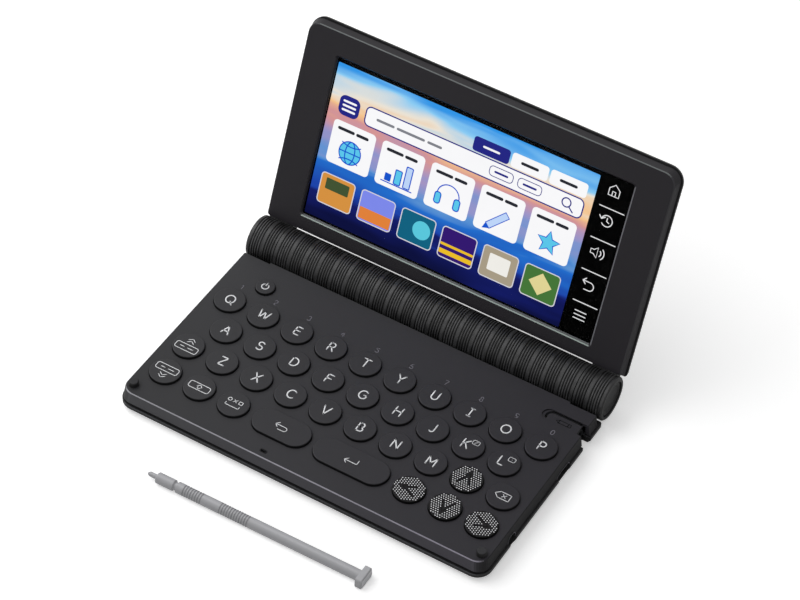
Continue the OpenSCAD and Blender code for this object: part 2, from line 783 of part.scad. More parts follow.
// Four rubber feet: two under the tray and two under the ends of the sleeve
module rubber_feet() {
    color([0.06, 0.06, 0.06]) at_axis() {
        for (s = [-1, 1]) {
            translate([s * front_foot_x, front_foot_y, table_z])
                linear_extrude(foot_h + foot_sunk - 2 * tiny) capsule(foot_len, foot_r - snug);
            translate([s * rear_foot_x - rear_foot_w / 2, -rear_foot_d / 2, table_z])
                cube([rear_foot_w, rear_foot_d, rear_foot_seat - table_z - 2 * tiny]);
        }
    }
}

// Rubber bumpers on the deck that the closed lid rests on
module lid_bumpers() {
    color([0.06, 0.06, 0.06]) at_axis() for (s = [-1, 1]) translate([s * bumper_x, bumper_y, 0]) {
        translate([0, 0, deck_z + tiny]) button(bumper_d / 2, bumper_top - deck_z - tiny, 0.5);
        translate([0, 0, deck_under - 0.3]) cylinder(d = bumper_stem, h = deck_t + 0.5, $fn = 24);
    }
}

// Round button with a rounded top edge
module button(r, h, edge) {
    rotate_extrude() {
        square([r - edge, h]);
        square([r, h - edge]);
        translate([r - edge, h - edge]) intersection() {
            circle(edge);
            square(edge);
        }
    }
}

// Screws that hold the two halves of the case together
module case_screws() {
    color([0.6, 0.6, 0.62]) at_axis() for (p = SCREWS) translate([p[0], p[1], 0]) difference() {
        union() {
            translate([0, 0, under_z]) cylinder(d = screw_head_d, h = screw_head_t - 2 * tiny, $fn = 32);
            translate([0, 0, screw_head_z - near])
                cylinder(d = screw_d, h = screw_top - screw_head_z + near, $fn = 24);
        }
        translate([0, 0, under_z - 0.2]) {
            cube([2.4, 0.5, 1], center = true);
            cube([0.5, 2.4, 1], center = true);
        }
    }
}

// One key: a round cap with a flange under the deck
module key_cap(r) {
    translate([0, 0, flange_low]) button(r, key_top - flange_low, key_edge);
    translate([0, 0, flange_low]) cylinder(r = r + flange_w, h = flange_t);
}

module round_key(k) {
    color([0.2, 0.2, 0.21]) at_axis() translate([k[1], k[2], 0]) key_cap(key_d / 2);
}

module key_power() {
    color([0.2, 0.2, 0.21]) at_axis() translate([power_x, power_y, 0]) key_cap(power_d / 2);
}

// A long key: two round ends and the same section drawn out between them
module long_key(k) {
    r = key_d / 2;
    color([0.2, 0.2, 0.21]) at_axis() translate([k[1], k[2], 0]) {
        for (s = [-1, 1]) translate([s * k[3] / 2, 0, 0]) key_cap(r);
        translate([-k[3] / 2, 0, 0]) rotate([90, 0, 90]) linear_extrude(k[3]) {
            translate([-r, flange_low]) square([2 * r, key_top - key_edge - flange_low]);
            translate([-r + key_edge, flange_low]) square([2 * (r - key_edge), key_top - flange_low]);
            translate([-r - flange_w, flange_low]) square([2 * (r + flange_w), flange_t]);
            for (s = [-1, 1]) translate([s * (r - key_edge), key_top - key_edge]) circle(key_edge);
        }
    }
}

// Front frame of the lid, with the window for the screen
module lid_bezel() {
    color([0.17, 0.17, 0.18]) at_lid() difference() {
        hull() {
            level(bezel_half - deck_edge, bezel_far - deck_edge, -bezel_near, corner_r, bezel_z);
            level(bezel_half, bezel_far, -near_at(bezel_z + deck_edge), corner_r, bezel_z + deck_edge);
            level(bezel_half + wall_draft, bezel_far + wall_draft, -near_at(bezel_top), corner_r, bezel_top);
        }
        slab(bezel_half - case_wall, bezel_far - case_wall, -(bezel_near + case_wall), corner_r - case_wall,
            bezel_under, bezel_top + cut);
        // The window's frame slopes in towards the glass
        translate([window_x, 0, 0]) {
            hull() {
                level(window_half, window_far, -window_near, 1.2, bezel_z - tiny);
                level(window_half - window_slope, window_far - window_slope, -(window_near + window_slope), 1,
                    bezel_z + bezel_t - 0.4);
            }
            slab(window_half - window_slope, window_far - window_slope, -(window_near + window_slope), 1,
                bezel_z, bezel_under + cut);
        }
        // Openings in the near wall for the knuckles' arms
        pair() translate([arm_in - arm_slot, -bezel_near - case_wall - 0.3, bezel_under])
            cube([arm_w + 2 * arm_slot, bezel_near - cover_near + case_wall + cut,
                bezel_top - bezel_under + cut]);
    }
}

// Back cover of the lid
module lid_cover() {
    color([0.12, 0.12, 0.14]) at_lid() difference() {
        union() {
            hull() {
                level(cover_half, cover_far, -cover_near, corner_r + cover_step, cover_rim_z);
                level(cover_half, cover_far, -(cover_near + end_bevel), corner_r + cover_step,
                    cover_top - cover_edge);
                level(cover_half - cover_edge, cover_far - cover_edge, -(cover_near + 2 * end_bevel),
                    corner_r + cover_step - cover_edge, cover_top);
            }
            slab(bezel_half - case_wall - lip_fit, bezel_far - case_wall - lip_fit,
                -(bezel_near + case_wall + lip_fit), corner_r - case_wall, bezel_top - 0.6, cover_rim_z + tiny);
        }
        slab(bezel_half - case_wall - lip_fit - lip_wall, bezel_far - case_wall - lip_fit - lip_wall,
            -(bezel_near + case_wall + lip_fit + lip_wall), corner_r - case_wall - 0.5, bezel_top - cut,
            cover_in);
        pair() translate([arm_in - arm_slot, -arm_len, bezel_top - cut])
            cube([arm_w + 2 * arm_slot, arm_len, cover_in - bezel_top + cut]);
    }
}

// Ribbed knuckles at both ends of the barrel, with the arms that carry the lid
module hinge_knuckles() {
    bore_deep = pin_reach + 0.3;
    knuckle_edge = 0.5;
    shoulder_low = bezel_z + 0.2;
    shoulder_back = 1.5;
    color([0.17, 0.17, 0.18]) at_lid() pair() difference() {
        union() {
            turned(knuckle_in, barrel_half, knuckle_edge);
            // Shoulder that fills the corner between the barrel and the lid
            translate([knuckle_in, 0, 0]) rotate([90, 0, 90]) linear_extrude(arm_in - knuckle_in + arm_w + 1)
                polygon([
                    [lid_fit - near_at(shoulder_low), shoulder_low], [lid_fit - cover_near, cover_rim_z],
                    [-shoulder_back, barrel_r - 0.15], [-shoulder_back, shoulder_low]
                ]);
            translate([arm_in, -arm_len + 0.3, arm_z])
                cube([arm_w, arm_len - 2, cover_in - arm_z - lid_fit]);
        }
        x_bar(pin_d / 2 + pin_fit, knuckle_in - cut, bore_deep);
        x_bar(cap_r + near, barrel_half - cap_t - cap_sunk, barrel_half + cut);
    }
}

// Dished discs that close the ends of the barrel
module knuckle_caps() {
    dish = 0.35;
    dish_r = cap_r - 0.9;
    color([0.14, 0.14, 0.15]) at_lid() pair()
        translate([barrel_half - cap_t - cap_sunk + 2 * tiny, 0, 0]) rotate([0, 90, 0]) difference() {
            button(cap_r, cap_t, 0.3);
            translate([0, 0, cap_t - dish]) cylinder(r1 = dish_r - 1, r2 = dish_r, h = dish + tiny);
        }
}

// Display panel behind the glass
module display_panel() {
    color([0.3, 0.4, 0.6]) at_lid() translate([(picture_left + picture_right) / 2, 0, 0])
        slab((picture_right - picture_left) / 2 + panel_margin, picture_far + panel_margin,
            -(picture_near - panel_margin), 0.5, panel_z, panel_z + panel_t);
}

// Touch glass over the display and the row of touch keys beside it
module touch_glass() {
    color([0.1, 0.1, 0.12, 0.6]) at_lid() translate([window_x, 0, 0])
        slab(window_half + glass_margin, window_far + glass_margin, -(window_near - glass_margin), 1,
            glass_z, glass_z + glass_t);
}

// Stylus, lying along X on the table
module stylus() {
    nib_r = 0.9;
    neck = nib_len + 7.8;
    neck_r = stylus_r - 0.6;
    near_ribs = neck + 3.6;
    far_ribs = neck + 18.4;
    rib_depth = 0.2;
    rib_half = 0.28;
    shaft_end = stylus_len - head_t;
    ribs = [for (i = [0 : 7]) near_ribs + i, for (i = [0 : 11]) far_ribs + i];
    rib_points = [for (x = ribs, k = [-1, 0, 1]) [stylus_r - (k == 0 ? rib_depth : 0), x + k * rib_half]];
    color([0.62, 0.62, 0.64]) at_axis()
        translate([head_x, -stylus_lies, table_z + head_h / 2]) rotate([0, 0, stylus_turn]) {
            translate([-stylus_len, 0, -(head_h - stylus_d) / 2]) {
                rotate([0, 90, 0]) rotate_extrude($fn = 48) polygon(concat(
                    [[0, 0], [nib_r * 0.55, 0.15], [nib_r, 0.9], [nib_r, nib_len], [stylus_r - 0.4, nib_len],
                     [stylus_r, nib_len + 0.4], [stylus_r, neck - 0.9], [neck_r, neck - 0.35],
                     [neck_r, neck + 0.35], [stylus_r, neck + 0.65]],
                    rib_points,
                    [[stylus_r, shaft_end + tiny], [0, shaft_end + tiny]]
                ));
            }
            translate([-head_t, 0, 0]) stylus_head();
        }
}

// Flat head across the stylus, with round corners and a bevelled outer edge
module stylus_head() {
    bevel = 0.4;
    corner = 0.8;
    rotate([90, 0, 90]) hull() for (b = [0, bevel]) linear_extrude(head_t - bevel + b)
        offset(r = corner, $fn = 32)
            square([head_w - 2 * (corner + b), head_h - 2 * (corner + b)], center = true);
}

upper_case();
lower_case();
barrel_sleeve();
battery_cover();
cells();
battery_contacts();
hinge_pins();
main_board();
key_sheet();
stylus_tube();
speaker();
rubber_feet();
lid_bumpers();
case_screws();
lid_bezel();
lid_cover();
hinge_knuckles();
knuckle_caps();
display_panel();
touch_glass();
stylus();
key_power();
for (k = ROUND_KEYS) round_key(k);
for (k = LONG_KEYS) long_key(k);
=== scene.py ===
# %% [markdown]
# # A pocket electronic dictionary, dressed for a picture
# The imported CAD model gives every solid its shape, its place and the body that it moves with. This
# script adds what a mould or a printing pad adds on the real thing: the grain of the plastics, the
# white signs on the keys, the picture behind the glass, and the light that shows them.

# %% Load the model
import json
import bpy
from math import cos, degrees, dist, pi, radians, sin
from mathutils import Matrix, Vector


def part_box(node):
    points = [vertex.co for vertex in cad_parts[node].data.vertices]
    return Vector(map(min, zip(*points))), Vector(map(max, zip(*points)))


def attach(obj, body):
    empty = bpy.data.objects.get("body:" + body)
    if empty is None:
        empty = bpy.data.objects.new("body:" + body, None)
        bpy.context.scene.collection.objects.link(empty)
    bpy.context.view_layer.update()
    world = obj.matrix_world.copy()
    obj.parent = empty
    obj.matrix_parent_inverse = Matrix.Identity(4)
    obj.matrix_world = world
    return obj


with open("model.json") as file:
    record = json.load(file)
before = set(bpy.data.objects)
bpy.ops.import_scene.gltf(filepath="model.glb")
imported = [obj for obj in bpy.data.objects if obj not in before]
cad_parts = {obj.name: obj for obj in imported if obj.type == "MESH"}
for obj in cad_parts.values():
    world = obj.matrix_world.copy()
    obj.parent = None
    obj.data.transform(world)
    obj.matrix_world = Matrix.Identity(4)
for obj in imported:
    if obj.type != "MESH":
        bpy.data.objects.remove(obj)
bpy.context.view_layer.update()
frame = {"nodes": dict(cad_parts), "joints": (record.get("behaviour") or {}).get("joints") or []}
nodes = frame["nodes"]
joints = {joint["name"]: joint for joint in frame["joints"]}
MM = 0.001

# %% [markdown]
# ## Two drawing boards
# Everything printed lies either on the deck or on the lid. Both are easiest to draw flat, in
# millimetres, with x to the right, y up the board and z towards the reader. A matrix then lays the
# board in its place. The hinge joint knows the axis and how far the lid stands open, so a board laid
# with it fits also when the model changes.

# %% The deck's board and the lid's board
hinge = joints["lid_hinge"]
AXIS = Vector(hinge["pos_m"])
LID_OPEN = radians(-hinge["range_deg"][0])
DECK = Matrix.Translation(AXIS) @ Matrix.Scale(MM, 4)
LID = Matrix.Translation(AXIS) @ Matrix.Rotation(pi - LID_OPEN, 4, "X") @ Matrix.Scale(MM, 4)


def key_place(key):
    """Middle of a key's top on the deck's board, in millimetres."""
    low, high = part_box(key)
    return (Vector(((low.x + high.x) / 2, (low.y + high.y) / 2, high.z)) - AXIS) / MM


print("lid open", round(degrees(LID_OPEN), 1), "degrees")
print("Q key at", [round(c, 2) for c in key_place("key_q")])

# %% [markdown]
# ## Camera
# The photograph was taken from the front right with a long lens, 46 degrees down. A camera is a
# place and three directions: forwards, right and up. They come from the turn round the vertical, the
# tilt and a small roll, and fill the columns of its matrix.

# %% Camera
def add(name, data):
    """A new object in the scene."""
    made = bpy.data.objects.new(name, data)
    bpy.context.scene.collection.objects.link(made)
    return made


YAW, TILT, ROLL = (radians(a) for a in (28.9875, 46.3518, 2.9285))
FROM_AXIS = Vector((0.36394, -0.68034, 0.81611))
FOCAL_PIXELS, PICTURE_PIXELS = 3134.19, 800

forward = Vector((-sin(YAW) * cos(TILT), cos(YAW) * cos(TILT), -sin(TILT)))
level = Vector((cos(YAW), sin(YAW), 0))
raised = level.cross(forward)
right = cos(ROLL) * level + sin(ROLL) * raised
upward = -sin(ROLL) * level + cos(ROLL) * raised

lens = bpy.data.cameras.new("photo_camera")
lens.sensor_width = 36
lens.lens = FOCAL_PIXELS / PICTURE_PIXELS * lens.sensor_width
lens.clip_start = 0.01
camera = add("photo_camera", lens)
turn = Matrix((right, upward, -forward)).transposed().to_4x4()
camera.matrix_world = Matrix.Translation(AXIS + FROM_AXIS) @ turn
bpy.context.scene.camera = camera
print("lens", round(lens.lens, 2), "mm")

# %% [markdown]
# ## Table, sky and lamps
# A product picture wants even, soft light. The sky does most of it. It is brighter on the left, as
# beside a large window, so walls that face right stay dark. A wide lamp overhead shapes the lid and
# the barrel, and a slim one at the front adds to the walls that face it. The table is pale. For rays
# that come from the camera it gets a little light of its own, which makes it paper white and still
# leaves the shadow of the object on it.

# %% Helpers for nodes and colours
def put(tree, kind, values=None, **settings):
    """Adds a node. A value is a number, a colour, or a socket or node to link."""
    made = tree.nodes.new(kind)
    for name, setting in settings.items():
        setattr(made, name, setting)
    for socket, value in (values or {}).items():
        if isinstance(value, bpy.types.Node):
            value = value.outputs[0]
        if isinstance(value, bpy.types.NodeSocket):
            tree.links.new(value, made.inputs[socket])
        else:
            made.inputs[socket].default_value = value
    return made


def calc(tree, operation, *values):
    """The result of a Math node on numbers and sockets."""
    return put(tree, "ShaderNodeMath", dict(enumerate(values)), operation=operation).outputs[0]


def vector_calc(tree, operation, *values):
    """The result of a Vector Math node."""
    result = "Value" if operation == "DOT_PRODUCT" else "Vector"
    return put(tree, "ShaderNodeVectorMath", dict(enumerate(values)), operation=operation).outputs[result]


def times(tree, colour, factor):
    """A colour multiplied by a number or by another colour."""
    return vector_calc(tree, "MULTIPLY", colour, factor)


def noise(tree, where, scale, detail, **more):
    """The value of a noise texture."""
    return put(tree, "ShaderNodeTexNoise", {"Vector": where, "Scale": scale, "Detail": detail, **more}).outputs["Fac"]


def remap(tree, value, source=(0.0, 1.0), target=(0.0, 1.0), **settings):
    """Carries a value from one range over to another. The ends may be sockets."""
    ends = {"From Min": source[0], "From Max": source[1], "To Min": target[0], "To Max": target[1]}
    return put(tree, "ShaderNodeMapRange", {"Value": value, **ends}, **settings).outputs[0]


def object_coords(tree):
    """The piece's own coordinates, in metres."""
    return put(tree, "ShaderNodeTexCoord").outputs["Object"]


def blank(name):
    """A new material and its empty tree."""
    made = bpy.data.materials.new(name)
    made.use_nodes = True
    made.node_tree.nodes.clear()
    return made, made.node_tree


def to_surface(tree, shader):
    """Ends a material's tree with a shader."""
    put(tree, "ShaderNodeOutputMaterial", {"Surface": shader})


def tone(*shades):
    """A screen colour of 0 to 255 as the linear colour that a shader wants."""
    parts = [c / 255 for c in shades]
    return (*(c / 12.92 if c <= 0.04045 else ((c + 0.055) / 1.055) ** 2.4 for c in parts), 1)


print("mid grey is", [round(c, 3) for c in tone(128, 128, 128)])

# %% Sky
SKY_LEFT, SKY_RIGHT = 0.9, 0.1

world = bpy.data.worlds.new("studio_sky")
world.use_nodes = True
sky = world.node_tree
sky.nodes.clear()
rays = put(sky, "ShaderNodeLightPath").outputs
seen = calc(sky, "MAXIMUM", rays["Is Camera Ray"], rays["Is Glossy Ray"])
seen = calc(sky, "MAXIMUM", seen, rays["Is Transmission Ray"])
toward = put(sky, "ShaderNodeSeparateXYZ", {0: put(sky, "ShaderNodeTexCoord").outputs["Generated"]})
sideways = remap(sky, toward.outputs["X"], (-1.0, 1.0), (SKY_LEFT, SKY_RIGHT))
strength = remap(sky, seen, target=(sideways, 1.0))
light = put(sky, "ShaderNodeBackground", {"Color": (1, 1, 1, 1), "Strength": strength})
put(sky, "ShaderNodeOutputWorld", {"Surface": light})
bpy.context.scene.world = world
bpy.context.scene.view_settings.view_transform = "Standard"

# %% Table
TABLE_SIZE, TABLE_LIFT = 6, 0.42

bpy.ops.mesh.primitive_plane_add(size=TABLE_SIZE)
table = bpy.context.object
table.name = "table"
paper, tree = blank("table_paper")
matt = put(tree, "ShaderNodeBsdfDiffuse", {"Color": (0.9, 0.9, 0.9, 1)})
lift = calc(tree, "MULTIPLY", put(tree, "ShaderNodeLightPath").outputs["Is Camera Ray"], TABLE_LIFT)
glow = put(tree, "ShaderNodeEmission", {"Color": (1, 1, 1, 1), "Strength": lift})
to_surface(tree, put(tree, "ShaderNodeAddShader", {0: matt, 1: glow}))
table.data.materials.append(paper)

# %% Lamps
def lamp(name, place, aim, size, watts):
    """A rectangular lamp at a place, turned to shine at a point."""
    data = bpy.data.lights.new(name, "AREA")
    data.shape = "RECTANGLE"
    data.size, data.size_y = size
    data.energy = watts
    turned = (Vector(aim) - Vector(place)).to_track_quat("-Z", "Y").to_matrix().to_4x4()
    add(name, data).matrix_world = Matrix.Translation(place) @ turned


lamp("overhead_lamp", (-0.42, -0.04, 0.64), (0, 0, 0.02), (0.6, 0.5), 2.3)
lamp("edge_lamp", (-0.32, -0.72, 0.60), (0, -0.05, 0), (0.9, 0.10), 0.7)

# %% [markdown]
# ## Effects that the finishes share
# A mould's surface is never one number. Fine grain makes the light break up, slow clouds make one
# place a shade lighter than the next, and handling leaves some places smoother. Several plastics
# need the same effect at another scale, so each effect is a node group with inputs of its own.

# %% Helpers for shader groups
def shader_group(name, inputs, *outputs):
    """An empty group with inputs (name: default) and outputs, which are numbers."""
    group = bpy.data.node_groups.new(name, "ShaderNodeTree")
    for label, value in inputs.items():
        kind = "NodeSocketVector" if isinstance(value, tuple) else "NodeSocketFloat"
        group.interface.new_socket(label, in_out="INPUT", socket_type=kind).default_value = value
    for label in outputs:
        group.interface.new_socket(label, in_out="OUTPUT", socket_type="NodeSocketFloat")
    return group, put(group, "NodeGroupInput").outputs, put(group, "NodeGroupOutput").inputs


def place_group(tree, group, values):
    """A group in a material, with values for its inputs in their order."""
    placed = put(tree, "ShaderNodeGroup", node_tree=group)
    for socket, value in zip(placed.inputs, values):
        socket.default_value = value
    return placed.outputs


def texture_scale(tree, size_mm):
    """Turns a feature size in millimetres into a texture scale."""
    return calc(tree, "DIVIDE", 1000.0, size_mm)


# %% Moulded grain
grain, given, out = shader_group(
    "moulded_grain",
    {"Grain size mm": 0.2, "Cloud size mm": 18, "Shade spread": 0.1, "Roughness": 0.5, "Roughness spread": 0.1},
    "Shade", "Roughness", "Height",
)
where = object_coords(grain)
fine = noise(grain, where, texture_scale(grain, given["Grain size mm"]), 3.0)
cloud = noise(grain, where, texture_scale(grain, given["Cloud size mm"]), 4.0, Roughness=0.6)
centred = calc(grain, "SUBTRACT", calc(grain, "ADD", fine, cloud), 1.0)
shade = calc(grain, "MULTIPLY_ADD", centred, given["Shade spread"], 1.0)
rough = calc(grain, "MULTIPLY_ADD", centred, given["Roughness spread"], given["Roughness"])
for name, socket in (("Shade", shade), ("Roughness", rough), ("Height", fine)):
    grain.links.new(socket, out[name])

# %% [markdown]
# The lid's back and the tray carry a leather-like mould grain: small rounded cells with dark joints.
# A Voronoi texture is made of such cells. Its distance to the nearest edge is a height that falls at
# the joints.

# %% Leather cells
leather, given, out = shader_group("leather_cells", {"Cell size mm": 0.6, "Joint width": 0.12}, "Height")
cells = put(leather, "ShaderNodeTexVoronoi", {
    "Vector": object_coords(leather), "Scale": texture_scale(leather, given["Cell size mm"]),
    "Randomness": 0.85}, feature="DISTANCE_TO_EDGE")
height = remap(
    leather, cells.outputs["Distance"], (0.0, given["Joint width"]), interpolation_type="SMOOTHSTEP")
leather.links.new(height, out["Height"])

# %% [markdown]
# Studio light draws bright lines along the edges of dark plastic and leaves the walls of a key dark in
# their hole. Two soft lamps don't, so it is written into the finishes, and turns with the piece. Its
# place is told from two things. One is the way that the surface faces: the dot product of its own
# direction with a given one. The other is a belt across the piece, from its own coordinates.

# %% A mask for faces that look one way
facing, given, out = shader_group("facing_mask", {"Direction": (0.0, 0.0, 1.0), "From": 0.5, "To": 0.9}, "Mask")
normal = put(facing, "ShaderNodeTexCoord").outputs["Normal"]
near = vector_calc(facing, "DOT_PRODUCT", normal, given["Direction"])
facing.links.new(remap(facing, near, (given["From"], given["To"])), out["Mask"])

# %% A mask for a belt
belt, given, out = shader_group(
    "belt_mask", {"Direction": (0.0, 0.0, 1.0), "Middle mm": 0.0, "Half width mm": 1.0, "Softness mm": 0.1}, "Mask")
along = vector_calc(belt, "DOT_PRODUCT", object_coords(belt), given["Direction"])
offset = calc(belt, "SUBTRACT", calc(belt, "MULTIPLY", along, 1000.0), given["Middle mm"])
inside = calc(belt, "SUBTRACT", given["Half width mm"], calc(belt, "ABSOLUTE", offset))
belt.links.new(remap(belt, inside, (0.0, given["Softness mm"])), out["Mask"])


def paint_light_and_shade(tree, colour, factor, looks=None, lies=None):
    """Paints light or shade into a colour: multiplies it in one or both of two places, by a factor above 1 for painted
    light and below 1 for painted shade.

    looks is where it looks one way (direction, from, to), and lies is where it lies in a belt
    (direction, middle, half width, softness in millimetres).
    """
    masks = [place_group(tree, group, values)[0] for group, values in ((facing, looks), (belt, lies)) if values]
    mask = masks[0] if len(masks) == 1 else calc(tree, "MULTIPLY", *masks)
    change = [f - 1 for f in (factor if isinstance(factor, tuple) else (factor,) * 3)]
    return times(tree, colour, vector_calc(tree, "MULTIPLY_ADD", mask, change, (1, 1, 1)))


# %% Where the painted light and shade lie
X, Y, Z = (Vector(axis) for axis in ((1, 0, 0), (0, 1, 0), (0, 0, 1)))
LID_UP, LID_FACE = ((LID.to_3x3() @ v).normalized() for v in (Y, Z))


def on_lid(direction, middle, half, softness=0.05):
    """A belt on the lid. Its middle is counted from the hinge's axis."""
    return (direction, 1000 * AXIS.dot(direction) + middle, half, softness)


TRAY_RIM_HEIGHT = 1000 * AXIS.z - 5.2
LID_HALF = 1000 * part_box("lid_bezel")[1].x
FACE_EDGE = on_lid(LID_FACE, -2.7, 0.3, 0.15)
far_edge = LID_FACE * 0.707 + (LID_UP + X) * 0.5
top_edge = (LID_FACE + LID_UP).normalized()
low_slope = (LID_FACE * 0.3 + LID_UP * 0.95).normalized()
right_slope = (LID_FACE - X).normalized()

# Painted shade on the side walls of keys and bumpers.
KEY_WALL_SHADE = (0.12, (Z, 0.88, 0.5))
# Painted highlight on the front left rim of each key.
KEY_RIM_HIGHLIGHT = (2.6, ((-0.45, -0.55, 0.70), 0.92, 0.99))
# Painted shade on walls that face right.
RIGHT_WALL_SHADE = (0.22, (X, 0.3, 0.8))
# Painted highlight along the deck's front edge.
FRONT_EDGE_HIGHLIGHT = (11.0, ((0, -0.707, 0.707), 0.78, 0.95))
# Painted shade, a little violet, towards the right of the deck and the keys.
RIGHT_SIDE_SHADE = ((0.70, 0.66, 0.74), None, (X, 78.0, 150.0, 130.0))
# Painted light on the deck towards the barrel.
REAR_PAINTED_LIGHT = (1.14, None, (Y, 45.0, 43.0, 25.0))
# Painted shade at the deck's front left corner.
CORNER_SHADE = (0.84, None, (Vector((-0.707, -0.707, 0)), 95.0, 47.0, 32.0))
# Painted shade on the tray's ledge and low on its wall, and a painted highlight along its rim.
TRAY_RIM_LIGHT_AND_SHADE = [
    (0.35, (Z, 0.6, 0.8)),
    (4.5, (Z, 0.5, 0.2), (Z, TRAY_RIM_HEIGHT, 0.45, 0.1)),
    (0.5, None, (Z, TRAY_RIM_HEIGHT - 1.6, 1.15, 0.1)),
]
# Painted highlights along the bezel's outer edges and on the lower and right slopes of its window.
BEZEL_HIGHLIGHTS = [
    ((2.3, 2.5, 2.3), (far_edge, 0.76, 0.85), FACE_EDGE),
    ((3.6, 4.0, 3.6), (top_edge, 0.90, 0.97), FACE_EDGE),
    ((2.4, 2.6, 2.4), (low_slope, 0.80, 0.88), on_lid(LID_UP, 14.2, 0.5)),
    ((3.0, 3.2, 3.0), (low_slope, 0.80, 0.88), on_lid(LID_UP, 14.55, 0.25)),
    ((9.0, 10.0, 9.0), (right_slope, 0.95, 0.985), (X, LID_HALF - 14, 6.0, 0.1)),
]
# Painted light on the cover's upward sides, and a painted highlight line along its rim between bands of painted shade.
COVER_LIGHT_AND_SHADE = [
    (1.5, (LID_UP, 0.5, 0.9)),
    (0.5, None, on_lid(LID_FACE, -5.3, 0.35)),
    (3.0, None, on_lid(LID_FACE, -6.15, 0.22)),
    (0.5, None, on_lid(LID_FACE, -6.85, 0.25)),
]
print("rim of the tray", round(TRAY_RIM_HEIGHT, 2), "mm up, lid half width", round(LID_HALF, 2))

# %% [markdown]
# ## The plastics
# All of the case is one dark plastic, but each part comes out of its own mould: the deck is finely
# matt, the lid's face is smoother, the shells have the leather grain, and the barrel is streaked
# round its ribs. One function makes the common part. The numbers that are the same all over a
# surface, such as the specular level, are set on the shader itself.

# %% A dark plastic
GRAIN_DEPTH, CELL_DEPTH = 0.2, 0.15
JOINT_SHADE = 0.35


def bump(tree, strength, distance, height, normal=None):
    """A bump from a height. The distance is in metres."""
    values = {"Strength": strength, "Distance": distance, "Height": height}
    return put(tree, "ShaderNodeBump", values | ({"Normal": normal} if normal else {})).outputs[0]


def plastic(name, colour, roughness, specular, size=0.2, relief=0.15, spread=0.12, cloud=18,
            cells=None, painted_light_and_shade=()):
    """A moulded plastic. size is its grain in millimetres, and cells the leather cells' size."""
    made, tree = blank(name)
    skin = place_group(tree, grain, (size, cloud, spread, roughness, 0.15))
    shaded = times(tree, colour[:3], skin["Shade"])
    raised = bump(tree, relief, size * GRAIN_DEPTH * MM, skin["Height"])
    if cells:
        height = place_group(tree, leather, (cells,))["Height"]
        shaded = times(tree, shaded, remap(tree, height, target=(JOINT_SHADE, 1.0)))
        raised = bump(tree, 0.7, cells * CELL_DEPTH * MM, height, raised)
    for one in painted_light_and_shade:
        shaded = paint_light_and_shade(tree, shaded, *one)
    to_surface(tree, put(tree, "ShaderNodeBsdfPrincipled", {
        "Base Color": shaded, "Roughness": skin["Roughness"], "Specular IOR Level": specular, "Normal": raised}))
    return made


def dress(material, *names):
    """Gives CAD nodes a material in all of their slots."""
    for name in names:
        for slot in nodes[name].material_slots:
            slot.material = material


# %% Dress the case and the keys
# The deck gets painted light and shade, and the keys get painted shade on their walls and a painted highlight on their
# rims.
DECK_LIGHT_AND_SHADE = [RIGHT_SIDE_SHADE, REAR_PAINTED_LIGHT, CORNER_SHADE, RIGHT_WALL_SHADE, FRONT_EDGE_HIGHLIGHT]
KEYS = [name for name in nodes if name.startswith("key_") and name != "key_sheet"]
dress(plastic("deck_plastic", tone(53, 53, 55), 0.55, 0.20, painted_light_and_shade=DECK_LIGHT_AND_SHADE), "upper_case")
dress(plastic(
    "key_plastic", tone(52, 52, 54), 0.50, 0.20, size=0.16, painted_light_and_shade=[RIGHT_SIDE_SHADE, KEY_WALL_SHADE, KEY_RIM_HIGHLIGHT]), *KEYS)
dress(plastic("arrow_plastic", tone(20, 20, 21), 0.50, 0.15, size=0.16, painted_light_and_shade=[KEY_WALL_SHADE]),
      *(name for name in KEYS if name.startswith("key_arrow_")))
dress(plastic(
    "bezel_plastic", tone(36, 34, 38), 0.42, 0.18, size=0.12, relief=0.08, painted_light_and_shade=BEZEL_HIGHLIGHTS), "lid_bezel")
# Painted shade on walls that face right, and painted light and shade along the edges of the cover and the tray.
for name, node, edges in (("cover_plastic", "lid_cover", COVER_LIGHT_AND_SHADE), ("tray_plastic", "lower_case", TRAY_RIM_LIGHT_AND_SHADE)):
    dress(plastic(name, tone(30, 30, 33), 0.45, 0.35, cells=0.55, painted_light_and_shade=[RIGHT_WALL_SHADE, *edges]), node)
dress(plastic("cap_plastic", tone(38, 38, 40), 0.42, 0.3, size=0.15, painted_light_and_shade=[RIGHT_WALL_SHADE]), "knuckle_caps")
print("keys dressed:", len(KEYS))

# %% [markdown]
# The barrel's ribs are turned into the mould, and its plastic flowed round it, which leaves streaks
# along the ribs and soft patches of gloss. Stretching a noise does it: the pattern is fine along the
# axis and long round it. A Mapping node squeezes the coordinates before the noise reads them. Painted
# shade darkens the walls of the grooves, and a painted highlight, placed by a fold along the axis,
# brightens ridges. The fold runs there and back in two groups of ridges, so the painted highlight falls
# on every second group.

# %% Streaked barrel plastic
GROUP_PITCH = 5.86

barrel, tree = blank("barrel_plastic")
where = object_coords(tree)
squeezed = put(tree, "ShaderNodeMapping", {"Vector": where, "Scale": (4.0, 1.0, 1.0)})
streak = noise(tree, squeezed, 260.0, 4.0, Roughness=0.6)
skin = place_group(tree, grain, (0.15, 5, 0.3, 0.42, 0.3))
both = calc(tree, "MULTIPLY", remap(tree, streak, (0.35, 0.65), (0.55, 1.8)), skin["Shade"])
shaded = times(tree, tone(38, 38, 39)[:3], both)
# Painted shade on the walls of the grooves.
for side in (-1, 1):
    shaded = paint_light_and_shade(tree, shaded, 0.15, (X * side, 0.2, 0.5))
